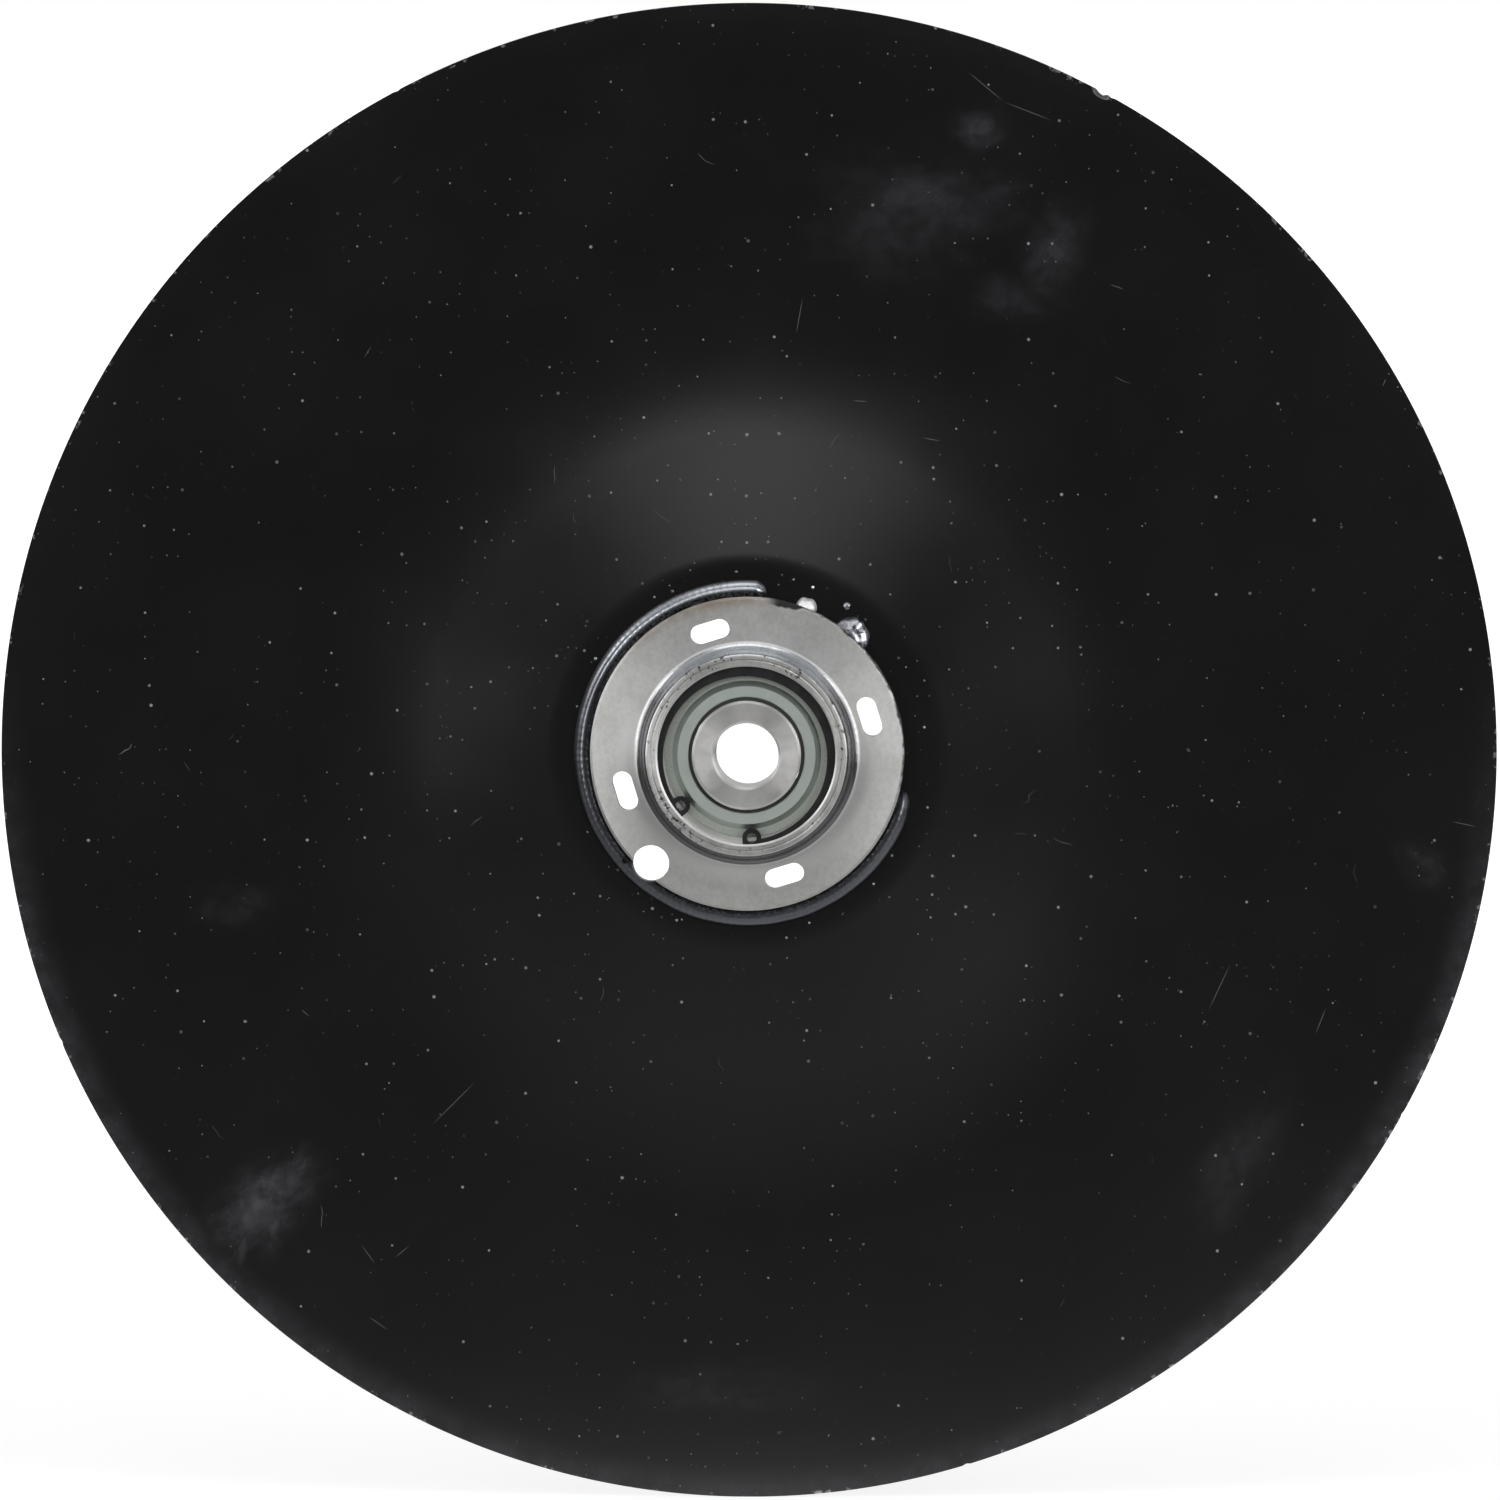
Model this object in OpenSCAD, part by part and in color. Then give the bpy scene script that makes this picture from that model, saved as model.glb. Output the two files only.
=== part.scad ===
// Planter disc opener: a dished steel blade, welded to a bearing hub that turns on a
// sealed single-row ball bearing. The disc stands upright with its axis along Y and
// its hub side towards -Y. Sections are drawn in radius and axial height, where the
// height grows towards the hub side and is zero in the plane of the balls.

/* [Blade] */
// Diameter over the cutting edge
blade_d = 381; // [340:1:460]
// Thickness of the blade
blade_t = 3.5; // [3:0.1:5]
// Height of the dish, from the outer zone up to the hub seat
dish_h = 9; // [5:0.5:12]
// Diameter at which the dish bends into the outer zone
dish_d = 199; // [180:1:230]
// Flat width of the seat between the weld and the inner bend
seat_margin = 4.2; // [3:0.1:9]
// Radius of the bend at the seat, at mid thickness
seat_bend_r = 28; // [15:1:40]
// Radius of the bend at the outer zone, at mid thickness
rim_bend_r = 120; // [60:5:150]
// Width of the edge break on the hub side
front_bevel_w = 4; // [2:0.5:6]
// Depth of the edge break on the hub side
front_bevel_h = 0.2; // [0.1:0.1:1]
// Width of the ground bevel on the back
back_bevel_w = 11; // [6:0.5:16]
// Thickness left at the cutting edge
edge_t = 1; // [0.5:0.1:1.4]

/* [Hub] */
// Height of the neck above the plate
neck_h = 8; // [6:0.1:10]
// Radial wall of the neck at its lip
lip_wall = 3.3; // [2.8:0.1:5]
// Growth of the neck radius from the lip to the foot
neck_flare = 1.1; // [0.5:0.1:2]
// Fillet at the foot of the neck
foot_fillet = 2; // [1:0.1:3]
// Rounding of the outer edge of the lip
lip_round = 0.9; // [0.4:0.1:1.2]
// Height of the lip above the circlip
lip_h = 1.5; // [1:0.1:2.5]
// Chamfer at the mouth of the neck
mouth_chamfer = 0.4; // [0.2:0.1:0.6]
// Radial width of the plate beyond the neck
plate_w = 12.9; // [12:0.1:18]
// Thickness of the plate
plate_t = 4; // [3:0.1:6]
// Chamfer of the plate edge
plate_chamfer = 0.6; // [0.3:0.1:0.8]
// Radial overlap of the plate on the blade
seat_overlap = 4; // [3:0.1:4.5]
// Depth of the pilot in the blade hole
pilot_h = 2; // [1:0.1:2.8]
// Radial wall of the rear body round the bearing
rear_wall = 5.4; // [4:0.1:6]
// Chamfer of the rear body
rear_chamfer = 1; // [0.5:0.1:1.5]
// Fillet between the rear body and the pilot
rear_fillet = 0.8; // [0.4:0.1:1.2]
// Thickness of the shoulder behind the bearing
shoulder_t = 2; // [1.5:0.1:2.5]
// Radial reach of the shoulder over the outer ring
shoulder_reach = 1.5; // [1:0.1:1.6]
// Width and depth of the turned line on the lip
lip_line = 0.3; // [0.2:0.05:0.4]

/* [Slots] */
// Width of a slot in the plate
slot_w = 5.1; // [4:0.1:6]
// Length of a slot along its circle
slot_len = 10.2; // [8:0.1:16]
// Distance of the slot circle from the plate edge
slot_inset = 7.5; // [7:0.1:8.2]
// Turn of the first slot from the horizontal
slot_turn = 17; // [0:1:90]
// Diameter of the holding hole
hold_d = 9.3; // [6:0.1:10]
// Distance of the holding hole from the plate edge
hold_inset = 2.8; // [2:0.1:3.5]
// Place of the holding hole round the hub
hold_turn = 228.75; // [210:0.25:260]

/* [Weld] */
// Leg of the weld along the blade
weld_leg_r = 4.4; // [3:0.1:5.5]
// Leg of the weld up the plate edge
weld_leg_h = 3.2; // [2:0.1:3.3]
// Radius of the rounded weld face
weld_face_r = 4; // [3.8:0.1:6]
// Place of the first end of the weld
weld_start = 88; // [75:1:120]
// Sweep of the weld
weld_sweep = 255; // [200:1:260]
// Radius of the large tack weld
tack_r = 2.8; // [2:0.1:3.2]
// Radius of the small tack weld
small_tack_r = 1.8; // [1.2:0.1:2.5]
// Place of the large tack weld
tack_turn = 48.7; // [35:0.1:52]
// Angle from the large to the small tack weld
tack_step = 19.3; // [12:0.1:22]

/* [Bearing] */
// Bore of the inner ring, for a 5/8 inch bolt
bore_d = 16.256; // [14:0.001:18]
// Outer diameter of the outer ring
bearing_od = 45.225; // [43:0.001:50]
// Diameter of a ball
ball_d = 7.938; // [7:0.001:8.5]
// Radial wall of the outer ring at its land
outer_wall = 3.3125; // [3.1:0.0005:3.8]
// Radial wall of the outer ring at its seal recesses
recess_wall = 1.6; // [1.3:0.1:2]
// Depth of a race below its land
race_depth = 1.244; // [0.9:0.001:1.5]
// Radius of a race over the radius of a ball
race_open = 1.038; // [1.02:0.002:1.08]
// Running gap between a ball and a race
ball_gap = 0.06; // [0.03:0.01:0.1]
// Inner ring beyond the outer ring, at each end
inner_overhang = 2.75; // [2.5:0.05:4]
// Chamfer of the ring edges
ring_chamfer = 0.6; // [0.3:0.1:0.9]

/* [Cage] */
// Sheet thickness of a cage half
cage_t = 0.6; // [0.4:0.05:0.8]
// Gap between a ball and its pocket
pocket_gap = 0.15; // [0.1:0.01:0.25]
// Gap between the cage and the ring lands
cage_side_gap = 0.95; // [0.8:0.05:1.1]
// Shank diameter of a cage rivet
rivet_d = 1.2; // [0.8:0.1:1.4]
// Overhang of a rivet head over its shank
rivet_rim = 0.25; // [0.2:0.05:0.5]
// Height of a rivet head
rivet_head_h = 0.45; // [0.3:0.05:0.6]

/* [Seals] */
// Axial room for a seal at each end of the outer ring
seal_room = 2.45; // [2.2:0.05:3]
// Gap between the cage and a seal
seal_gap = 0.58; // [0.4:0.02:0.8]
// Sheet thickness of a shield
shield_t = 0.6; // [0.4:0.05:0.7]
// Depth of a shield below the face of the outer ring
shield_sink = 0.45; // [0.3:0.05:0.6]
// Gap between a shield and the inner ring
shield_gap = 0.91; // [0.7:0.01:1.1]
// Radial width of the raised collar of a shield
collar_w = 2.74; // [2:0.02:3]
// Radial width of the step of a shield
step_w = 1.4; // [0.8:0.1:1.8]
// Height of the step of a shield
step_h = 1.6; // [1:0.1:1.9]
// Edge rounding of a shield, cut as a chamfer
shield_edge = 0.2; // [0.1:0.05:0.3]
// Running gap between the seal lips and the inner ring
lip_gap = 0.1; // [0.05:0.01:0.15]

/* [Circlip] */
// Thickness of the circlip
clip_t = 1.75; // [1.5:0.05:2]
// Depth of the circlip groove below the bearing seat
clip_groove = 1.14; // [0.9:0.02:1.4]
// Radial width of the circlip opposite its gap
clip_wide = 3.7; // [3.2:0.1:4]
// Radial width of the circlip near its lugs
clip_slim = 2; // [1.7:0.1:2.4]
// Diameter of the plier holes
plier_d = 2.5; // [2:0.1:2.8]
// Wall of a lug round its plier hole
lug_wall = 1.15; // [0.9:0.05:1.4]
// Place of the middle of the circlip gap
clip_turn = 245.6; // [230:0.1:260]
// Angle from the middle of the gap to each plier hole
lug_turn = 28.1; // [22:0.1:34]

/* [Fits] */
// Radial fit of the outer ring in its seat
seat_fit = 0.01; // [0.005:0.005:0.03]
// Gap between the pilot and the blade hole
pilot_gap = 0.1; // [0.05:0.05:0.3]
// Gap round the circlip in its groove
clip_gap = 0.05; // [0.02:0.01:0.1]
// Gap round a shield, a seal and a rivet in their seats
trim_gap = 0.02; // [0.01:0.01:0.05]

/* [Hidden] */
$fn = 96;

// Bearing section
bore_r = bore_d / 2;
od_r = bearing_od / 2;
ball_r = ball_d / 2;
outer_land_r = od_r - outer_wall;
inner_land_r = outer_land_r - 2 * (ball_r - race_depth);
recess_r = od_r - recess_wall;
pitch_r = (inner_land_r + outer_land_r) / 2;
race_r = ball_r * race_open;
race_reach = ball_r + ball_gap - race_r;
ball_n = 8;
ball_step = 360 / ball_n;
pocket_r = ball_r + pocket_gap;
cage_h = pocket_r + cage_t;
seal_h = cage_h + seal_gap;
outer_h = seal_h + seal_room;
inner_h = outer_h + inner_overhang;

// Hub levels and radii
seat_r = od_r + seat_fit;
groove_r = seat_r + clip_groove;
clip_h = outer_h + clip_gap;
groove_top_h = clip_h + clip_t + clip_gap;
lip_top_h = groove_top_h + lip_h;
plate_top_h = lip_top_h - neck_h;
seat_h = plate_top_h - plate_t;
pilot_end_h = seat_h - pilot_h;
rear_h = -outer_h - shoulder_t;
rear_open_r = od_r - shoulder_reach;
rear_body_r = seat_r + rear_wall;
lip_r = seat_r + lip_wall;
foot_r = lip_r + neck_flare;
plate_r = foot_r + plate_w;
hole_r = plate_r - seat_overlap;
pilot_r = hole_r - pilot_gap;
neck_lean = atan(neck_flare / neck_h);
slot_r = plate_r - slot_inset;
hold_r = plate_r - hold_inset;

// Blade section
blade_r = blade_d / 2;
seat_end_r = plate_r + weld_leg_r + seat_margin;
dish_r = dish_d / 2;
mid_h = seat_h - blade_t / 2;

dish_slope = atan(dish_h / (dish_r - seat_end_r));
far = blade_d;
corner_bite = blade_t / 10;

// Turns a section's axis from Z to Y, with the hub side towards -Y
module stand() {
    rotate([90, 0, 0]) children();
}

// Turns a section in radius and height into a full ring
module ring() {
    stand() rotate_extrude() children();
}

// Material between a corner and an arc tangent to its two sides, which leave the corner
// at angles a1 and a2. It reaches past the corner, so that it overlaps what it fills or
// clears.
module corner_piece(corner, a1, a2, r) {
    half = (a2 - a1) / 2;
    side = r / tan(half);
    to_centre = [cos(a1 + half), sin(a1 + half)];
    centre = corner + r / sin(half) * to_centre;
    difference() {
        polygon([
            corner - corner_bite * to_centre,
            corner + side * [cos(a1), sin(a1)],
            centre,
            corner + side * [cos(a2), sin(a2)]
        ]);
        translate(centre) circle(r);
    }
}

// The cone runs between two bends that are tangent to the seat and the outer zone
module blade_section() {
    half_t = blade_t / 2;
    lean = half_t * tan(dish_slope / 2);
    rim_h = mid_h - dish_h;
    seat_front = [seat_end_r + lean, mid_h + half_t];
    seat_back = [seat_end_r - lean, mid_h - half_t];
    rim_front = [dish_r + lean, rim_h + half_t];
    rim_back = [dish_r - lean, rim_h - half_t];
    difference() {
        polygon([
            [hole_r, mid_h - half_t],
            seat_back,
            rim_back,
            [blade_r - back_bevel_w, rim_h - half_t],
            [blade_r, rim_h + half_t - front_bevel_h - edge_t],
            [blade_r, rim_h + half_t - front_bevel_h],
            [blade_r - front_bevel_w, rim_h + half_t],
            rim_front,
            seat_front,
            [hole_r, mid_h + half_t]
        ]);
        corner_piece(seat_front, 180, 360 - dish_slope, seat_bend_r + half_t);
        corner_piece(rim_back, 0, 180 - dish_slope, rim_bend_r + half_t);
    }
    corner_piece(seat_back, 180, 360 - dish_slope, seat_bend_r - half_t);
    corner_piece(rim_front, 0, 180 - dish_slope, rim_bend_r - half_t);
}

// Round holding hole, through the plate, the weld and the blade
module holding_hole() {
    stand() rotate(hold_turn) translate([hold_r, 0, -far / 2]) cylinder(d = hold_d, h = far);
}

module disc_blade() {
    color("#1d1d22")
    difference() {
        ring() blade_section();
        holding_hole();
    }
}

// One slot with round ends, along its circle
module slot() {
    round_r = slot_w / 2;
    reach = slot_len / 2 - round_r;
    translate([slot_r, 0, -far / 2]) {
        translate([-round_r, -reach, 0]) cube([slot_w, 2 * reach, far]);
        for (side = [-1, 1])
            translate([0, side * reach, 0]) cylinder(d = slot_w, h = far);
    }
}

module hub_section() {
    foot = [foot_r, plate_top_h];
    lip_edge = [lip_r, lip_top_h];
    difference() {
        polygon([
            [rear_open_r, rear_h],
            [rear_body_r - rear_chamfer, rear_h],
            [rear_body_r, rear_h + rear_chamfer],
            [rear_body_r, pilot_end_h],
            [pilot_r, pilot_end_h],
            [pilot_r, seat_h],
            [plate_r, seat_h],
            [plate_r, plate_top_h - plate_chamfer],
            [plate_r - plate_chamfer, plate_top_h],
            foot,
            lip_edge,
            [seat_r + mouth_chamfer, lip_top_h],
            [seat_r, lip_top_h - mouth_chamfer],
            [seat_r, groove_top_h],
            [groove_r, groove_top_h],
            [groove_r, outer_h],
            [seat_r, outer_h],
            [seat_r, -outer_h],
            [rear_open_r, -outer_h]
        ]);
        corner_piece(lip_edge, 180, 270 + neck_lean, lip_round);
        translate([seat_r + lip_wall / 2, lip_top_h]) circle(lip_line);
    }
    corner_piece(foot, 0, 90 + neck_lean, foot_fillet);
    corner_piece([rear_body_r, pilot_end_h], 270, 360, rear_fillet);
}

module bearing_hub() {
    color("#b9bcc0")
    difference() {
        ring() hub_section();
        stand() for (i = [0:3]) rotate(slot_turn + 90 * i) slot();
        holding_hole();
    }
}

// The weld face is an arc through the ends of the two legs
weld_chord = norm([weld_leg_r, weld_leg_h]);
weld_back = sqrt(weld_face_r * weld_face_r - weld_chord * weld_chord / 4) / weld_chord;
weld_r = plate_r + weld_leg_r / 2 - weld_back * weld_leg_h;
weld_h = seat_h + weld_leg_h / 2 - weld_back * weld_leg_r;

// Space in front of the blade seat and outside the plate edge, where weld metal can lie
module weld_room() {
    room_r = plate_r + weld_leg_r + seat_margin;
    stand() difference() {
        translate([0, 0, seat_h]) cylinder(r = room_r, h = plate_t);
        translate([0, 0, seat_h - plate_t]) cylinder(r = plate_r, h = 3 * plate_t);
    }
}

module weld_bead() {
    color("#77757a")
    difference() {
        intersection() {
            stand() {
                rotate(weld_start) rotate_extrude(angle = weld_sweep)
                    translate([weld_r, weld_h]) circle(weld_face_r);
                for (turn = [weld_start, weld_start + weld_sweep])
                    rotate(turn) translate([weld_r, 0, weld_h]) sphere(weld_face_r);
            }
            weld_room();
        }
        holding_hole();
    }
}

// One lump of weld metal in the corner between the plate edge and the blade
module tack(turn, r) {
    rotate(turn) translate([plate_r + r / 2, 0, seat_h]) sphere(r);
}

module tack_welds() {
    color("#9a9ca0")
    intersection() {
        stand() {
            tack(tack_turn, tack_r);
            tack(tack_turn + tack_step, small_tack_r);
        }
        weld_room();
    }
}

module clip_plan() {
    clip_r = groove_r - clip_gap;
    opening_r = clip_r - (clip_wide + clip_slim) / 2;
    shift = (clip_wide - clip_slim) / 2;
    lug_r = plier_d / 2 + lug_wall;
    plier_r = clip_r - clip_slim - plier_d / 2 + lug_wall / 2;
    difference() {
        union() {
            difference() {
                circle(clip_r);
                translate([shift, 0]) circle(opening_r);
                polygon([[0, 0], far * [cos(lug_turn), sin(lug_turn)],
                    far * [cos(lug_turn), -sin(lug_turn)]]);
            }
            intersection() {
                circle(clip_r);
                for (side = [-1, 1])
                    rotate(side * lug_turn) translate([plier_r, 0]) {
                        circle(lug_r);
                        translate([0, -lug_r]) square([clip_r, 2 * lug_r]);
                    }
            }
        }
        for (side = [-1, 1])
            rotate(side * lug_turn) translate([plier_r, 0]) circle(d = plier_d);
    }
}

module circlip() {
    color("#242426")
    stand() rotate(clip_turn) translate([0, 0, clip_h]) linear_extrude(clip_t) clip_plan();
}

module outer_ring() {
    color("#a9acae")
    ring() difference() {
        polygon([
            [outer_land_r, -seal_h],
            [recess_r, -seal_h],
            [recess_r, -outer_h],
            [od_r - ring_chamfer, -outer_h],
            [od_r, -outer_h + ring_chamfer],
            [od_r, outer_h - ring_chamfer],
            [od_r - ring_chamfer, outer_h],
            [recess_r, outer_h],
            [recess_r, seal_h],
            [outer_land_r, seal_h]
        ]);
        translate([pitch_r + race_reach, 0]) circle(race_r);
    }
}

module inner_ring() {
    color("#b4b6b8")
    ring() difference() {
        polygon([
            [bore_r, -inner_h + ring_chamfer],
            [bore_r + ring_chamfer, -inner_h],
            [inner_land_r - ring_chamfer, -inner_h],
            [inner_land_r, -inner_h + ring_chamfer],
            [inner_land_r, inner_h - ring_chamfer],
            [inner_land_r - ring_chamfer, inner_h],
            [bore_r + ring_chamfer, inner_h],
            [bore_r, inner_h - ring_chamfer]
        ]);
        translate([pitch_r - race_reach, 0]) circle(race_r);
    }
}

module ball(i) {
    color("#d0d2d4")
    stand() rotate(ball_step * i) translate([pitch_r, 0, 0]) sphere(ball_r);
}

// One half of the ribbon cage: a flat band between the balls that rises over each ball
module cage_half() {
    band_r1 = inner_land_r + cage_side_gap;
    band_r2 = outer_land_r - cage_side_gap;
    difference() {
        intersection() {
            union() {
                cylinder(r = outer_land_r, h = cage_t);
                for (i = [1:ball_n])
                    rotate(ball_step * i) translate([pitch_r, 0, 0]) sphere(cage_h);
            }
            difference() {
                cylinder(r = band_r2, h = 2 * cage_h);
                translate([0, 0, -cage_h]) cylinder(r = band_r1, h = 4 * cage_h);
            }
        }
        for (i = [1:ball_n]) {
            rotate(ball_step * i) translate([pitch_r, 0, 0]) sphere(pocket_r);
            rotate(ball_step * (i + 0.5)) translate([pitch_r, 0, -cage_h])
                cylinder(d = rivet_d + 2 * trim_gap, h = 3 * cage_h);
        }
    }
}

module cage_front() {
    color("#c3b98f") stand() cage_half();
}

module cage_rear() {
    color("#c3b98f") stand() mirror([0, 0, 1]) cage_half();
}

// Rivets midway between the balls, with a head on each side of the cage
module cage_rivets() {
    head_r = rivet_d / 2 + rivet_rim;
    color("#8f9295")
    stand() for (i = [1:ball_n])
        rotate(ball_step * (i + 0.5)) translate([pitch_r, 0, 0]) {
            translate([0, 0, -cage_t]) cylinder(d = rivet_d, h = 2 * cage_t);
            translate([0, 0, cage_t]) cylinder(r = head_r, h = rivet_head_h);
            translate([0, 0, -cage_t - rivet_head_h]) cylinder(r = head_r, h = rivet_head_h);
        }
}

// Levels and radii of a stepped shield
rim_top_h = outer_h - shield_sink;
collar_top_h = rim_top_h + step_h;
shield_r = recess_r - trim_gap;
collar_r = inner_land_r + shield_gap;
step_in_r = collar_r + collar_w;
step_out_r = step_in_r + step_w;
step_lean = shield_t * tan(atan(step_h / step_w) / 2);

module shield_section() {
    polygon([
        [shield_r, seal_h + trim_gap],
        [shield_r, rim_top_h - shield_edge],
        [shield_r - shield_edge, rim_top_h],
        [step_out_r, rim_top_h],
        [step_in_r, collar_top_h],
        [collar_r + shield_edge, collar_top_h],
        [collar_r, collar_top_h - shield_edge],
        [collar_r, collar_top_h - shield_t],
        [step_in_r - step_lean, collar_top_h - shield_t],
        [step_out_r - step_lean, rim_top_h - shield_t],
        [shield_r - shield_t, rim_top_h - shield_t],
        [shield_r - shield_t, seal_h + trim_gap]
    ]);
}

// Rubber seal bonded under the shield, with three lips that run on the inner ring
module seal_section() {
    top_h = collar_top_h - shield_t - trim_gap;
    floor_h = seal_h + trim_gap;
    tip_r = inner_land_r + lip_gap;
    root_r = collar_r + shield_edge;
    lip_n = 3;
    lip_pitch = (top_h - floor_h) / lip_n;
    tip_top = 0.8 * lip_pitch;
    tip_foot = 0.6 * lip_pitch;
    lip_root = 0.3 * lip_pitch;
    polygon(concat(
        [
            [root_r, floor_h],
            [shield_r - shield_t - trim_gap, floor_h],
            [shield_r - shield_t - trim_gap, rim_top_h - shield_t - trim_gap],
            [step_out_r - step_lean - trim_gap, rim_top_h - shield_t - trim_gap],
            [step_in_r - step_lean - trim_gap, top_h],
            [root_r, top_h]
        ],
        [for (i = [lip_n - 1:-1:0]) each [
            [tip_r, floor_h + lip_pitch * i + tip_top],
            [tip_r, floor_h + lip_pitch * i + tip_foot],
            [root_r, floor_h + lip_pitch * i + lip_root]
        ]]
    ));
}

module front_shield() {
    color("#a7ab94") ring() shield_section();
}

module front_seal() {
    color("#1c1c1e") ring() seal_section();
}

module rear_shield() {
    color("#a7ab94") mirror([0, 1, 0]) ring() shield_section();
}

module rear_seal() {
    color("#1c1c1e") mirror([0, 1, 0]) ring() seal_section();
}

disc_blade();
bearing_hub();
weld_bead();
tack_welds();
circlip();
outer_ring();
inner_ring();
ball(1);  // ball_1
ball(2);  // ball_2
ball(3);  // ball_3
ball(4);  // ball_4
ball(5);  // ball_5
ball(6);  // ball_6
ball(7);  // ball_7
ball(8);  // ball_8
cage_front();
cage_rear();
cage_rivets();
front_shield();
front_seal();
rear_shield();
rear_seal();
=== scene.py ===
"""Looks of a planter disc opener: a black painted blade with a welded, turned bearing hub.

The frame is in metres, with the disc's axis along Y and its hub side towards -Y. Sections are
written in millimetres, as a radius and a height that grows towards the hub side.
"""

import math
import random

import bmesh
import bpy
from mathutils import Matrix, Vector, noise


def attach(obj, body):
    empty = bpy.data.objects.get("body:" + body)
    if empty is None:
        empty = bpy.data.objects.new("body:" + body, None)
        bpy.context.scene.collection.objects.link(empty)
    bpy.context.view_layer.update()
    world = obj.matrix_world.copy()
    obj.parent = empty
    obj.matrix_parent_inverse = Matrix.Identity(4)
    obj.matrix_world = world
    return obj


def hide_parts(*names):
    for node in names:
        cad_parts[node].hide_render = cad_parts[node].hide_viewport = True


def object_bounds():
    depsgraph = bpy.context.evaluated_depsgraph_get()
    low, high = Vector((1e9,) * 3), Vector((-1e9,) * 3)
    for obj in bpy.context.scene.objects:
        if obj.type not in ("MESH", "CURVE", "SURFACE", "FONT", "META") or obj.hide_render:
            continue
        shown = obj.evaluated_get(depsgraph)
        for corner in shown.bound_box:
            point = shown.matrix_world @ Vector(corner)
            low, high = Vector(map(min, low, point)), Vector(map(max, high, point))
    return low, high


SEED = 20
MM = 0.001
WHITE = (1, 1, 1, 1)

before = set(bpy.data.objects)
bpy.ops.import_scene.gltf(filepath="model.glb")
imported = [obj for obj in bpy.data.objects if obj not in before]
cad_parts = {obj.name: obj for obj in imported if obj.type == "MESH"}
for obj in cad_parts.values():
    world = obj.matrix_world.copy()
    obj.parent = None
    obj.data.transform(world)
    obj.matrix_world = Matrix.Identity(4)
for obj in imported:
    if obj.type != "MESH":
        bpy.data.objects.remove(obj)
cad_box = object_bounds()

# Sizes of the solids that the dressed pieces lie on, in millimetres and degrees
BLADE_R = 190.5
BLADE_T = 3.5
HOLE_R = 35.92
SEAT_END_R = 48.5
DISH_R = 99.5
DISH_H = 9.0
SEAT_BEND_R = 28.0
RIM_BEND_R = 220.0
FRONT_BEVEL = (4.0, 0.2)
BACK_BEVEL_W = 11.0
EDGE_T = 1.0
SEAT_H = -0.901
PLATE_R = 39.92
HOLD_R = 37.12
HOLD_HOLE_R = 4.65
HOLD_TURN = 228.75
WELD_LEG_R = 4.4
WELD_LEG_H = 3.2
WELD_FROM = 83.0
WELD_TO = 347.5
WELD_PIT = (-30.6, -26.8)


def place(radius, turn, height):
    """Point of the frame at a radius in mm, a turn in degrees and a height in mm."""
    angle = math.radians(turn)
    return Vector((radius * math.cos(angle), -height, radius * math.sin(angle))) * MM


def smooth_step(low, high, value):
    """0 below a limit, 1 above another, and smooth between them."""
    t = min(max((value - low) / (high - low), 0.0), 1.0)
    return t * t * (3 - 2 * t)


# Node helper


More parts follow.
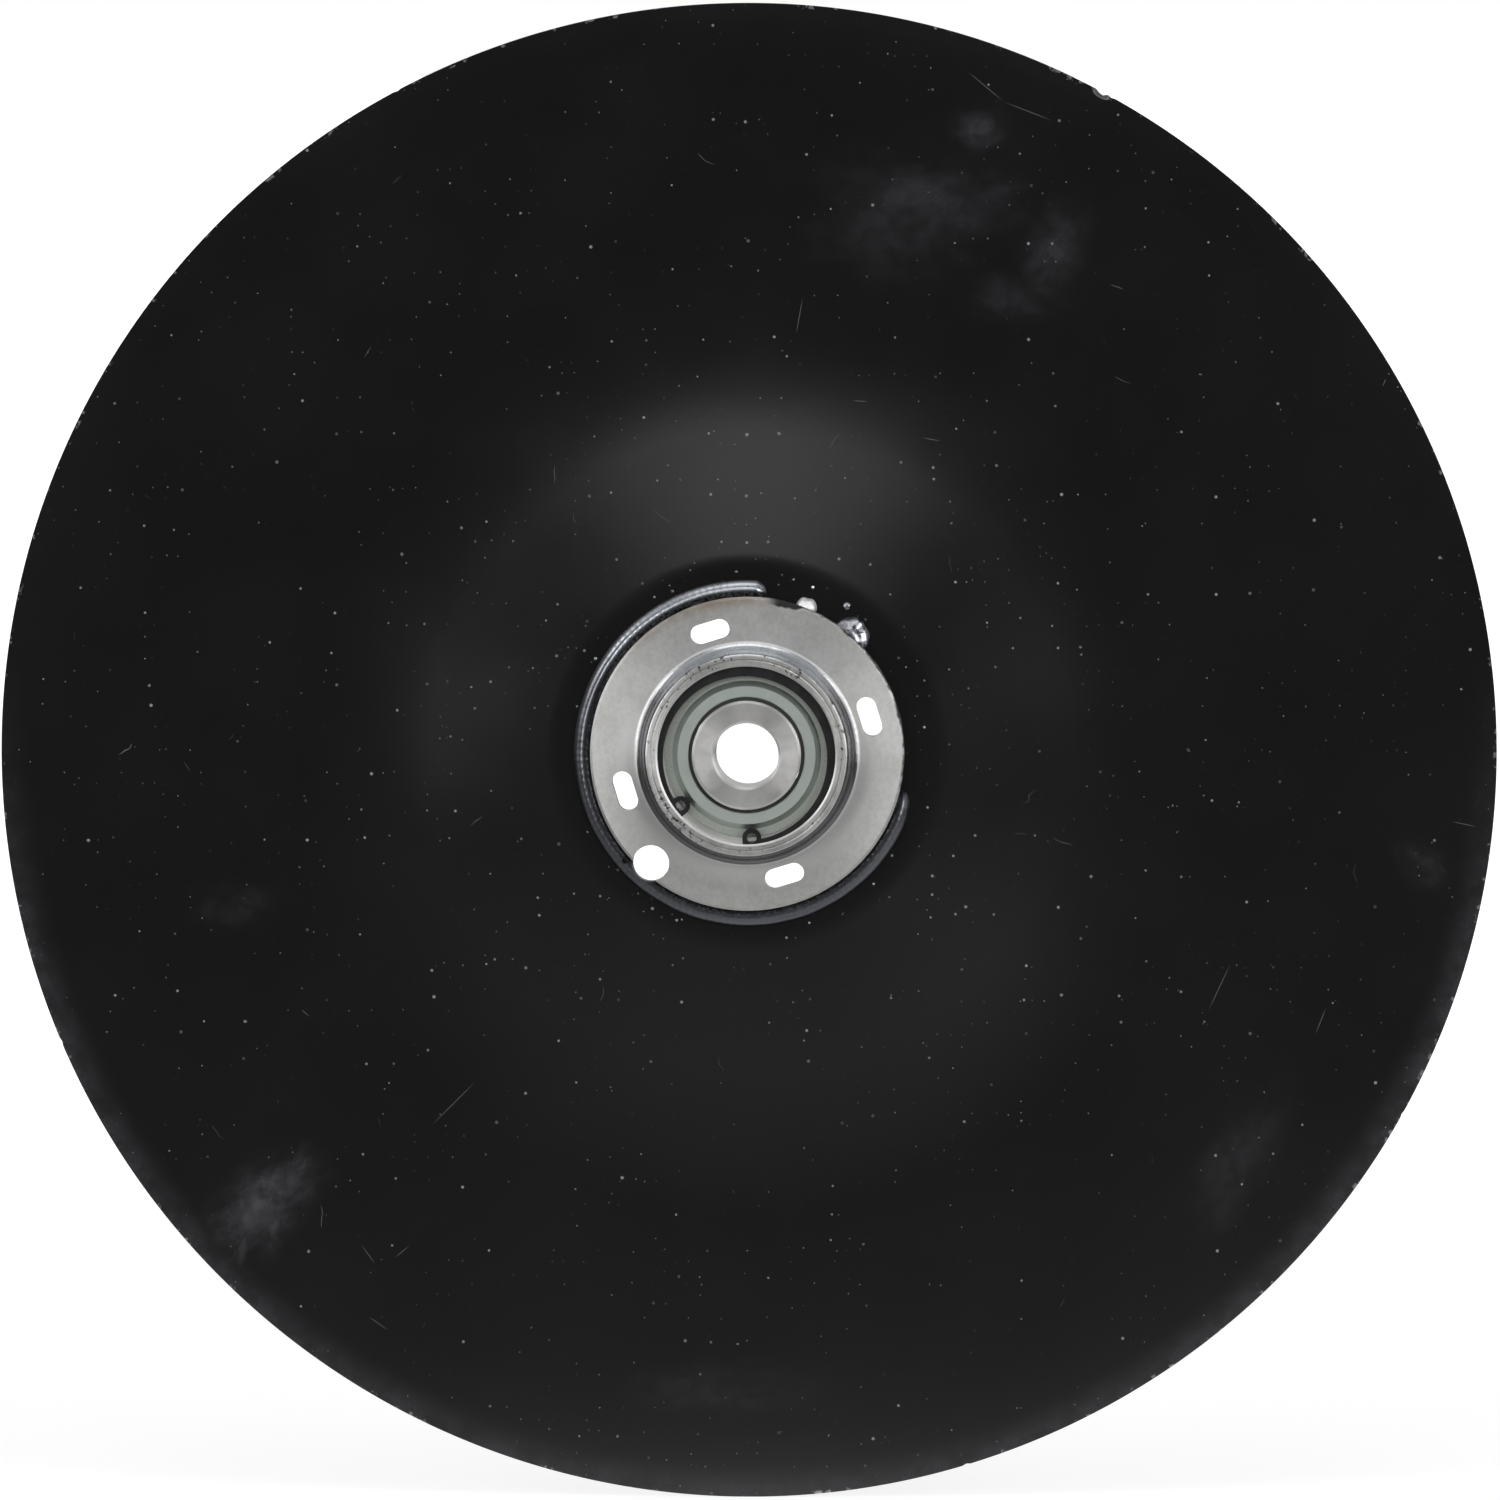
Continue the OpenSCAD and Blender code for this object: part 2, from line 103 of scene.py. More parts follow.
class Sheet:
    """The node tree of a material or a world, with short calls for the nodes used here."""

    def __init__(self, owner, output="OutputMaterial"):
        self.owner = owner
        owner.use_nodes = True
        self.tree = owner.node_tree
        self.tree.nodes.clear()
        self.out = self.node(output)

    def node(self, kind, **settings):
        """Adds a node and sets its properties."""
        made = self.tree.nodes.new("ShaderNode" + kind)
        for key, value in settings.items():
            setattr(made, key, value)
        return made

    def feed(self, socket, value):
        """Links an output to a socket, or sets the socket's own value."""
        if isinstance(value, bpy.types.NodeSocket):
            self.tree.links.new(value, socket)
        else:
            socket.default_value = value

    def math(self, operation, a, b=0.0):
        made = self.node("Math", operation=operation)
        self.feed(made.inputs[0], a)
        self.feed(made.inputs[1], b)
        return made.outputs[0]

    def times(self, *values):
        """Product of numbers."""
        total = values[0]
        for value in values[1:]:
            total = self.math("MULTIPLY", total, value)
        return total

    def most(self, *values):
        """Largest of numbers."""
        total = values[0]
        for value in values[1:]:
            total = self.math("MAXIMUM", total, value)
        return total

    def vector(self, operation, a, b=None, scale=None):
        made = self.node("VectorMath", operation=operation)
        self.feed(made.inputs[0], a)
        if b is not None:
            self.feed(made.inputs[1], b)
        if scale is not None:
            made.inputs["Scale"].default_value = scale
        return made.outputs["Value" if operation == "LENGTH" else "Vector"]

    def ramp(self, value, low, high, to_low=0.0, to_high=1.0):
        """Smooth step of a value between two limits."""
        made = self.node("MapRange", interpolation_type="SMOOTHSTEP")
        self.feed(made.inputs["Value"], value)
        made.inputs["From Min"].default_value = low
        made.inputs["From Max"].default_value = high
        made.inputs["To Min"].default_value = to_low
        made.inputs["To Max"].default_value = to_high
        return made.outputs["Result"]

    def band(self, value, low, high, soft):
        """1 between two limits, with soft edges inside them."""
        return self.times(self.ramp(value, low, low + soft),
                          self.ramp(value, high - soft, high, 1.0, 0.0))

    def mix(self, share, a, b):
        """Mix of two colours."""
        made = self.node("Mix", data_type="RGBA")
        self.feed(made.inputs["Factor"], share)
        self.feed(made.inputs[6], a)
        self.feed(made.inputs[7], b)
        return made.outputs[2]

    def blend(self, share, a, b):
        """Mix of two numbers."""
        made = self.node("Mix", data_type="FLOAT")
        self.feed(made.inputs["Factor"], share)
        self.feed(made.inputs[2], a)
        self.feed(made.inputs[3], b)
        return made.outputs[0]

    def noise(self, vector, scale, detail=3.0, rough=0.5, seed=0.0):
        """Noise between 0 and 1, of a scale per unit of the vector."""
        made = self.node("TexNoise", noise_dimensions="4D" if seed else "3D")
        self.feed(made.inputs["Vector"], vector)
        if seed:
            made.inputs["W"].default_value = seed
        made.inputs["Scale"].default_value = scale
        made.inputs["Detail"].default_value = detail
        made.inputs["Roughness"].default_value = rough
        return made.outputs["Fac"]

    def join(self, x, y, z=0.0):
        made = self.node("CombineXYZ")
        for socket, value in zip(made.inputs, (x, y, z)):
            self.feed(socket, value)
        return made.outputs[0]

    def bump(self, height, depth, strength):
        """Normal of a bumpy surface, with a depth in mm."""
        made = self.node("Bump")
        made.inputs["Strength"].default_value = strength
        made.inputs["Distance"].default_value = depth * MM
        self.feed(made.inputs["Height"], height)
        return made.outputs[0]

    def shade(self, **sockets):
        """Principled surface with the given sockets, by their names with _ for a space."""
        made = self.node("BsdfPrincipled")
        for key, value in sockets.items():
            self.feed(made.inputs[key.replace("_", " ")], value)
        self.feed(self.out.inputs["Surface"], made.outputs[0])
        return self.owner


def new_sheet(name):
    """Node tree of a new material."""
    return Sheet(bpy.data.materials.new(name))


# Shift of the wear on the back against the wear on the front, in mm
BACK_SHIFT = (53.0, -131.0, 0.0)


class Disc:
    """Place on the disc, in millimetres, as seen from the hub side."""

    def __init__(self, sheet):
        self.sheet = sheet
        coords = sheet.node("TexCoord").outputs["Object"]
        self.point = sheet.vector("SCALE", coords, scale=1 / MM)
        parts = sheet.node("SeparateXYZ")
        sheet.feed(parts.inputs[0], self.point)
        self.x, self.depth, self.z = parts.outputs
        self.flat = sheet.join(self.x, self.z)
        facing = sheet.node("SeparateXYZ")
        sheet.feed(facing.inputs[0], sheet.node("TexCoord").outputs["Normal"])
        self.front = sheet.math("LESS_THAN", facing.outputs[1], 0.0)
        shifted = sheet.vector("ADD", self.flat, BACK_SHIFT)
        self.worn = sheet.mix(self.front, shifted, self.flat)
        squares = sheet.math("ADD", sheet.math("POWER", self.x, 2.0),
                             sheet.math("POWER", self.z, 2.0))
        self.radius = sheet.math("SQRT", squares)
        self.rings = sheet.join(self.radius, 0.0, self.depth)

    def toward(self, turn):
        """Cosine of the angle between a place and a direction round the disc."""
        angle = math.radians(turn)
        along = self.sheet.math("ADD", self.sheet.math("MULTIPLY", self.x, math.cos(angle)),
                                self.sheet.math("MULTIPLY", self.z, math.sin(angle)))
        return self.sheet.math("DIVIDE", along, self.radius)

    def sector(self, middle, half, soft):
        """1 inside a sector round the disc, with a soft edge in degrees."""
        low = math.cos(math.radians(half + soft))
        high = math.cos(math.radians(half - soft))
        return self.sheet.ramp(self.toward(middle), low, high)

    def local(self, x, z, across, along, lean):
        """Place in the frame of a leaning ellipse, whose edge lies at 1."""
        turned = self.sheet.node("Mapping", vector_type="TEXTURE")
        self.sheet.feed(turned.inputs["Vector"], self.flat)
        turned.inputs["Location"].default_value = (x, z, 0)
        turned.inputs["Rotation"].default_value = (0, 0, math.radians(lean))
        turned.inputs["Scale"].default_value = (along, across, 1)
        return turned.outputs[0]

    def spot(self, x, z, across, along, lean):
        """1 in a leaning ellipse, with a soft edge."""
        far = self.sheet.vector("LENGTH", self.local(x, z, across, along, lean))
        return self.sheet.ramp(far, 0.6, 1.0, 1.0, 0.0)


def new_finish(name):
    """Node tree of a new material, and the place on the disc in it."""
    sheet = new_sheet(name)
    return sheet, Disc(sheet)


# Materials

# Usual spread of a noise, for the limits of a ramp
NOISE_SPAN = (0.3, 0.7)

# Scuffs in the paint: x and z in mm, half width, half length, lean in degrees, strength
SMEARS = (
    (-124.0, -115.0, 9.5, 18.5, 40.0, 0.80),
    (-121.0, -120.5, 4.0, 10.5, 80.0, 0.60),
    (-129.4, -127.0, 2.0, 9.0, 72.0, 0.45),
    (-114.0, -106.2, 1.4, 4.5, 42.0, 0.50),
    (58.8, 158.5, 6.5, 8.0, 10.0, 0.40),
    (43.5, 137.5, 18.0, 34.0, 5.0, 0.26),
    (63.1, 142.4, 3.5, 9.0, 5.0, 0.24),
    (77.7, 127.5, 8.0, 15.0, 68.0, 0.32),
    (67.5, 115.5, 7.5, 15.0, 0.0, 0.24),
    (-131.0, -40.0, 8.0, 12.0, 10.0, 0.20),
    (-8.0, -163.0, 9.0, 30.0, 0.0, 0.18),
    (125.0, -105.0, 10.0, 22.0, 62.0, 0.22),
    (172.0, -28.6, 5.5, 9.0, -35.0, 0.24),
)
# Lighter grey band painted along the lower rim as a painted glow: its width in mm and strength, and
# its sector in degrees
RIM_GLOW_BAND = (9.0, 0.50)
RIM_GLOW_SECTOR = (270.0, 84.0, 16.0)
# Scratches in the paint: x and z of the middle in mm, length, lean in degrees
SCRATCHES = (
    (-75.2, -90.0, 17.0, 45.0),
    (60.3, 169.3, 12.5, -40.0),
    (71.1, 163.0, 14.0, -21.0),
    (182.2, -18.3, 7.0, -12.0),
    (145.8, -68.6, 8.0, 68.0),
    (161.7, 94.1, 2.4, 68.0),
    (93.7, 118.4, 4.0, -20.0),
    (-97.0, -128.7, 6.0, -55.0),
    (-88.4, -128.0, 5.0, 40.0),
    (-94.5, -146.3, 6.5, -35.0),
    (-113.0, -67.0, 3.0, -40.0),
    (28.5, 89.3, 4.0, -5.0),
    (46.6, 79.6, 5.0, -10.0),
    (13.0, 111.0, 10.0, 80.0),
    (120.0, -60.0, 14.0, 65.0),
)
SCRATCH_W = 0.22
SCRATCH_STRENGTH = 0.55
# Films of the scuffs: reach past the ellipse, noise, step of its seed, thicker core, limits
SMEAR_REACH = 1.45
SMEAR_NOISE = (1.5, 5.0, 0.62)
SMEAR_SEED = 3.7
SMEAR_CORE = 0.22
SMEAR_LIMITS = (0.36, 0.92)
# Patches that thin the films out: noise, its limits, and the thinnest and the fullest film
PATCH_NOISE = (0.13, 5.0, 0.68)
PATCH_LIMITS = (0.32, 0.64)
PATCH_SHARES = (0.35, 1.0)
# Hair scratches: leans in degrees, stretch along and across, cell, speck and share of the cells
HAIR_LEANS = (52.0, -34.0, 101.0)
HAIR_STRETCH = (5.5, 0.20, 1)
HAIR_CELLS = (8.0, 0.5, 0.012)
# Bend of the hairs: scale of its noise, and its reach in mm
HAIR_BEND = (0.10, 8.0)
# Dust: cell and largest speck in mm, share of the cells that hold one
DUST_LAYERS = ((8.0, 0.42, 0.34), (2.9, 0.17, 0.20))
HUB_DUST = (5.3, 0.36, 0.26)
HUB_DUST_R = (60.0, 115.0)
CROWD_NOISE = (0.03, 2.0)
CROWD_SHARES = (0.4, 1.6)
DUST_STRENGTH = 0.85
# Faintest and clearest of the specks
SPECK_TONES = (0.15, 1.0)
# Colours of the paint, of what lies on it, and of bare steel
PAINT_DARK = (0.0024, 0.0023, 0.0027, 1)
PAINT_LIGHT = (0.0038, 0.0036, 0.0042, 1)
FILM_GREY = (0.060, 0.057, 0.065, 1)
SCRATCH_GREY = (0.11, 0.11, 0.115, 1)
DUST_GREY = (0.20, 0.20, 0.21, 1)
BARE_GREY = (0.42, 0.42, 0.43, 1)
# Roughness of clean paint, what its grain adds, and roughness of films, dust and scratches
PAINT_ROUGH = (0.18, 0.21)
GRAIN_ROUGH = 0.03
FILM_ROUGH = 0.5
WORN_ROUGH = 0.7
# Bare rim: where it starts and is full, in mm from the edge, and the limits of its chips
RIM_BARE = (1.1, 0.1)
CHIP_LIMITS = (0.60, 0.68)
# Bare spot at the deepest nick: mm from the edge, half width and half length in mm
NICK_SPOT = (0.7, 1.0, 2.6)


def specks(sheet, vector, cell, size, share):
    """Small round specks, one in some of the cells of a pattern."""
    cells = sheet.node("TexVoronoi", voronoi_dimensions="2D", feature="F1")
    sheet.feed(cells.inputs["Vector"], vector)
    cells.inputs["Scale"].default_value = 1 / cell
    parts = sheet.node("SeparateColor")
    sheet.feed(parts.inputs[0], cells.outputs["Color"])
    reach = sheet.math("MULTIPLY", parts.outputs[0], size / cell)
    inside = sheet.math("LESS_THAN", cells.outputs["Distance"], reach)
    chosen = sheet.math("LESS_THAN", parts.outputs[1], share)
    return sheet.times(inside, chosen, sheet.ramp(parts.outputs[2], 0.0, 1.0, *SPECK_TONES))


def dust(sheet, disc):
    """Specks of dust in loose crowds, closer together near the hub."""
    crowd = sheet.ramp(sheet.noise(disc.worn, *CROWD_NOISE), *NOISE_SPAN, *CROWD_SHARES)
    hub_cell, hub_size, hub_share = HUB_DUST
    near_hub = sheet.ramp(disc.radius, *HUB_DUST_R, hub_share, 0.0)
    layers = [specks(sheet, disc.worn, hub_cell, hub_size, sheet.times(crowd, near_hub))]
    for cell, size, share in DUST_LAYERS:
        layers.append(specks(sheet, disc.worn, cell, size, sheet.times(crowd, share)))
    return sheet.times(sheet.most(*layers), DUST_STRENGTH)


def hairs(sheet, disc):
    """Fine short scratches in a few directions, bent a little."""
    scale, reach = HAIR_BEND
    drift = sheet.node("TexNoise")
    sheet.feed(drift.inputs["Vector"], disc.worn)
    drift.inputs["Scale"].default_value = scale
    bend = sheet.vector("SCALE", drift.outputs["Color"], scale=reach)
    bent = sheet.vector("ADD", disc.worn, bend)
    layers = []
    for lean in HAIR_LEANS:
        stretched = sheet.node("Mapping", vector_type="TEXTURE")
        sheet.feed(stretched.inputs["Vector"], bent)
        stretched.inputs["Rotation"].default_value = (0, 0, math.radians(lean))
        stretched.inputs["Scale"].default_value = HAIR_STRETCH
        layers.append(specks(sheet, stretched.outputs[0], *HAIR_CELLS))
    return sheet.most(*layers)


def scratches(sheet, disc):
    """Hair scratches, and the longer ones on the front."""
    long_ones = [disc.spot(x, z, SCRATCH_W / 2, length / 2, lean)
                 for x, z, length, lean in SCRATCHES]
    on_front = sheet.times(sheet.most(*long_ones), disc.front)
    return sheet.times(sheet.most(hairs(sheet, disc), on_front), SCRATCH_STRENGTH)


def scuffs_and_rim_glow(sheet, disc):
    """Thin grey films of scuffs in the paint, and a painted glow along the lower rim."""
    films = []
    for number, (x, z, across, along, lean, strength) in enumerate(SMEARS, 1):
        local = disc.local(x, z, across, along, lean)
        near = sheet.ramp(sheet.vector("LENGTH", local), 0.0, SMEAR_REACH, 1.0, 0.0)
        wisps = sheet.noise(local, *SMEAR_NOISE, seed=number * SMEAR_SEED)
        thick = sheet.math("ADD", wisps, sheet.times(near, SMEAR_CORE))
        films.append(sheet.times(near, sheet.ramp(thick, *SMEAR_LIMITS, 0.0, strength)))
    # Painted glow: a lighter grey film along the lower rim only
    width, strength = RIM_GLOW_BAND
    rim_glow = sheet.ramp(disc.radius, BLADE_R - width, BLADE_R + width / 2, 0.0, strength)
    films.append(sheet.times(rim_glow, disc.sector(*RIM_GLOW_SECTOR)))
    patches = sheet.ramp(sheet.noise(disc.flat, *PATCH_NOISE), *PATCH_LIMITS, *PATCH_SHARES)
    return sheet.times(sheet.most(*films), patches)


def bare_edge(sheet, disc):
    """Bare steel at chips along the rim and at the deepest nick."""
    start, full = RIM_BARE
    edge = sheet.ramp(disc.radius, BLADE_R - start, BLADE_R - full)
    chips = sheet.ramp(sheet.noise(disc.point, 0.35, 4.0, 0.6), *CHIP_LIMITS)
    turn = NICKS[0][0]
    inset, across, along = NICK_SPOT
    spot = place(BLADE_R - inset, turn, 0) / MM
    return sheet.most(sheet.times(edge, chips),
                      disc.spot(spot.x, spot.z, across, along, turn - 90))


def black_paint():
    """Satin black paint with dust, scratches, scuffs, a painted glow along the lower rim and a
    chipped edge.
    """
    sheet, disc = new_finish("blade_paint_satin")
    cloud = sheet.noise(disc.point, 0.03, 2.0, 0.5)
    grain = sheet.noise(disc.point, 0.5, 2.0, 0.6)
    colour = sheet.mix(cloud, PAINT_DARK, PAINT_LIGHT)
    rough = sheet.ramp(cloud, *NOISE_SPAN, *PAINT_ROUGH)
    rough = sheet.math("ADD", rough, sheet.times(grain, GRAIN_ROUGH))
    # The films carry the painted glow along the lower rim
    layer_with_painted_light = sheet.times(disc.front, scuffs_and_rim_glow(sheet, disc))
    colour = sheet.mix(layer_with_painted_light, colour, FILM_GREY)
    rough = sheet.blend(layer_with_painted_light, rough, FILM_ROUGH)
    lines = scratches(sheet, disc)
    colour = sheet.mix(lines, colour, SCRATCH_GREY)
    specked = dust(sheet, disc)
    colour = sheet.mix(specked, colour, DUST_GREY)
    rough = sheet.blend(sheet.most(specked, lines), rough, WORN_ROUGH)
    bare = bare_edge(sheet, disc)
    colour = sheet.mix(bare, colour, BARE_GREY)
    normal = sheet.bump(grain, 0.02, 0.35)
    return sheet.shade(Base_Color=colour, Roughness=rough, Metallic=bare, Normal=normal)


LATHE_STRETCH = 0.8
ACROSS_LINES = 0.25


def lathe_lines(sheet, disc, pitch):
    """Fine lines that a lathe tool leaves round the axis, at a pitch in mm."""
    return sheet.noise(disc.rings, 1 / pitch, 2.0, 0.6)


def shade_turned(sheet, **sockets):
    """Principled surface that stretches its highlights across the lathe lines."""
    tangent = sheet.node("Tangent", direction_type="RADIAL", axis="Y")
    return sheet.shade(Anisotropic=LATHE_STRETCH, Anisotropic_Rotation=ACROSS_LINES,
                       Tangent=tangent.outputs[0], **sockets)


# Black flecks on the neck: radii and depths in mm, limits of their noise, what a sector adds to it
FLECK_R = (22.9, 28.4)
FLECK_DEPTH = (-7.0, -6.0)
FLECK_LIMITS = (0.62, 0.67)
FLECK_CROWD = 0.075
# Sectors with more of the flecks: middle, half width and soft edge in degrees
FLECK_SECTORS = ((122.0, 26.0, 4.0), (60.0, 5.0, 4.0), (10.0, 10.0, 4.0), (220.0, 18.0, 4.0))
# Paint over the plate's edge: limits from the edge in mm, its sector, and a run that reaches further
OVERSPRAY_EDGE = (-0.6, 0.1)
OVERSPRAY_RAGGED = (-0.5, 0.5)
OVERSPRAY_SECTOR = (34.0, 48.0, 4.0)
RUN_SECTOR = (77.0, 6.0, 3.0)
RUN_REACH = 1.3
PAINT_BLACK = (0.010, 0.010, 0.011, 1)


def flecks(sheet, disc):
    """Black flecks on the lip and the neck, most of them in a few sectors."""
    on_lip = sheet.times(sheet.band(disc.radius, *FLECK_R, 0.7),
                         sheet.ramp(disc.depth, *FLECK_DEPTH, 1.0, 0.0))
    crowded = sheet.most(*(disc.sector(*sector) for sector in FLECK_SECTORS))
    grain = sheet.noise(disc.point, 0.62, 4.0, 0.7)
    grain = sheet.math("ADD", grain, sheet.times(crowded, FLECK_CROWD))
    return sheet.times(on_lip, sheet.ramp(grain, *FLECK_LIMITS))


def overspray(sheet, disc):
    """Paint that runs over the plate's edge where the plate isn't welded."""
    ragged = sheet.ramp(sheet.noise(disc.point, 0.30, 4.0, 0.6), 0.2, 0.8, *OVERSPRAY_RAGGED)
    reach = sheet.math("ADD", disc.radius, ragged)
    reach = sheet.math("ADD", reach, sheet.times(disc.sector(*RUN_SECTOR), RUN_REACH))
    start, full = OVERSPRAY_EDGE
    return sheet.times(sheet.ramp(reach, PLATE_R + start, PLATE_R + full),
                       disc.sector(*OVERSPRAY_SECTOR))


# Zones of the hub's neck in mm: inner and outer radius, lowest and highest depth
LIP_ZONE = (22.95, 25.5, -11.3, -10.6)
WALL_ZONE = (25.15, 28.3, -11.07, -3.05)
FOOT_ZONE = (28.1, 28.8, -3.6, -2.9)
# Stain on the lip, and what it is multiplied by at the bottom and at the top: painted shade makes the
# lip darker at the bottom and lighter at the top
LIP_STAIN = (0.35, 0.65)
LIP_STAIN_AND_SHADE_AT = (1.25, 0.45)
# Upper sector of the wall with a painted bluish reflection; the rest of the wall gets a dark painted
# shade
WALL_LIT_SECTOR = (90.0, 46.0, 16.0)
# Colours: the lip's stain with painted shade, the wall's dark painted shade and bluish painted
# reflection, and the painted highlight at the foot
LIP_STAIN_AND_SHADE_GREY = (0.24, 0.235, 0.23, 1)
WALL_PAINTED_SHADE = (0.09, 0.09, 0.10, 1)
WALL_PAINTED_REFLECTION = (0.66, 0.70, 0.77, 1)
FOOT_PAINTED_HIGHLIGHT = (0.95, 0.95, 0.94, 1)


def neck_zone(sheet, disc, zone, soft):
    """1 in a ring of the neck, with a soft edge in mm towards its radii."""
    inner, outer, low, high = zone
    return sheet.times(sheet.band(disc.radius, inner, outer, soft),
                       sheet.band(disc.depth, low, high, 0.12))


def neck_colour(sheet, disc, colour, stain):
    """Colour of the neck: a stain on the lip with painted shade at the bottom, painted shade on the
    wall with a painted reflection at the top, and a painted highlight in a bright line at the foot.
    """
    # Real stain on the lip, with painted shade: darker towards the bottom, lighter at the top
    stain_and_shade = sheet.times(neck_zone(sheet, disc, LIP_ZONE, 0.3),
                          sheet.ramp(stain, *NOISE_SPAN, *LIP_STAIN),
                          sheet.ramp(disc.toward(90.0), -0.6, 0.7, *LIP_STAIN_AND_SHADE_AT))
    colour = sheet.mix(stain_and_shade, colour, LIP_STAIN_AND_SHADE_GREY)
    # Dark painted shade on the wall, and a painted bluish reflection on its upper sector
    wall = neck_zone(sheet, disc, WALL_ZONE, 0.25)
    lit_top = sheet.times(disc.sector(*WALL_LIT_SECTOR), sheet.ramp(stain, 0.3, 0.6, 0.5, 1.0))
    layer_with_painted_light = sheet.times(wall, sheet.math("SUBTRACT", 1.0, lit_top))
    colour = sheet.mix(sheet.times(layer_with_painted_light, 0.9), colour, WALL_PAINTED_SHADE)
    colour = sheet.mix(sheet.times(wall, lit_top, 0.7), colour, WALL_PAINTED_REFLECTION)
    # Painted highlight: a bright line at the foot of the neck
    foot = neck_zone(sheet, disc, FOOT_ZONE, 0.2)
    return sheet.mix(foot, colour, FOOT_PAINTED_HIGHLIGHT), wall


# The hub's plate: painted light in a lighter zone near the neck on its lower side, and heat tint at
# the weld, radii in mm, sectors in degrees
PLATE_PAINTED_LIGHT_R = (29.0, 35.5)
PLATE_PAINTED_LIGHT_SHARE = 0.85
PLATE_PAINTED_LIGHT_SECTOR = (258.0, 92.0, 18.0)
HEAT_R = (PLATE_R - 3.5, PLATE_R - 0.4)
HEAT_SECTOR = (108.0, 22.0, 12.0)
HUB_DARK = (0.60, 0.60, 0.59, 1)
HUB_LIGHT = (0.76, 0.76, 0.75, 1)
HUB_STAIN = (0.46, 0.445, 0.42, 1)
HUB_MOTTLE = (0.48, 0.47, 0.455, 1)
HUB_PAINTED_LIGHT = (0.96, 0.96, 0.95, 1)
HUB_HEAT = (0.40, 0.32, 0.26, 1)
# Roughness of the plate, what stains add to it, and roughness of the neck's wall
HUB_ROUGH = (0.42, 0.50)
STAIN_ROUGH = 0.06
WALL_ROUGH = (0.16, 0.26)


def plate_colour(sheet, disc, lines, stain):
    """Colour of the turned plate: lathe lines, stains, painted light in a zone near the neck on its
    lower side, and a heat tint.
    """
    colour = sheet.mix(lines, HUB_DARK, HUB_LIGHT)
    colour = sheet.mix(sheet.ramp(stain, 0.45, 0.75, 0.0, 0.45), colour, HUB_STAIN)
    mottle = sheet.noise(disc.point, 0.7, 5.0, 0.7)
    colour = sheet.mix(sheet.ramp(mottle, 0.42, 0.62, 0.0, 0.32), colour, HUB_MOTTLE)
    # Painted light: a lighter zone near the neck on the plate's lower side
    bright = sheet.times(sheet.ramp(disc.radius, *PLATE_PAINTED_LIGHT_R, PLATE_PAINTED_LIGHT_SHARE, 0.0),
                         disc.sector(*PLATE_PAINTED_LIGHT_SECTOR))
    colour = sheet.mix(bright, colour, HUB_PAINTED_LIGHT)
    heat = sheet.times(sheet.ramp(disc.radius, *HEAT_R),
                       sheet.ramp(stain, 0.3, 0.6, 0.2, 0.8), disc.sector(*HEAT_SECTOR))
    return sheet.mix(heat, colour, HUB_HEAT)


def hub_steel():
    """Turned steel of the hub, with stains, painted shade, reflection and highlights on the neck and
    plate, and traces of black paint.
    """
    sheet, disc = new_finish("hub_steel_turned")
    lines = lathe_lines(sheet, disc, 0.22)
    stain = sheet.noise(disc.point, 0.16, 5.0, 0.65)
    fine = sheet.noise(disc.point, 1.6, 3.0, 0.6)
    colour = plate_colour(sheet, disc, lines, stain)
    colour, wall = neck_colour(sheet, disc, colour, stain)
    rough = sheet.ramp(fine, *NOISE_SPAN, *HUB_ROUGH)
    rough = sheet.math("ADD", rough, sheet.times(stain, STAIN_ROUGH))
    rough = sheet.blend(wall, rough, sheet.ramp(fine, *NOISE_SPAN, *WALL_ROUGH))
    painted = sheet.most(flecks(sheet, disc), overspray(sheet, disc))
    colour = sheet.mix(painted, colour, PAINT_BLACK)
    metal = sheet.math("SUBTRACT", 1.0, painted)
    normal = sheet.bump(lines, 0.02, 0.6)
    return shade_turned(sheet, Base_Color=colour, Metallic=metal, Roughness=rough, Normal=normal)


# The weld: sector of its painted highlight on the upper side, soot with painted shade at its toes in
# mm from the plate's edge, and shape of the pit
WELD_HIGHLIGHT_SECTOR = (104.0, 34.0, 20.0)
TOE_INNER = (PLATE_R + 1.1, PLATE_R + 1.9)
TOE_OUTER = (PLATE_R + WELD_LEG_R - 0.6, PLATE_R + WELD_LEG_R - 0.1)
PIT_SHAPE = (1.3, 1.9, 40.0)
WELD_DARK = (0.11, 0.115, 0.13, 1)
WELD_LIGHT = (0.19, 0.195, 0.21, 1)
WELD_PAINTED_HIGHLIGHT = (0.58, 0.61, 0.66, 1)
WELD_BAND = (0.07, 0.072, 0.08, 1)
WELD_SOOT_AND_SHADE = (0.016, 0.016, 0.018, 1)


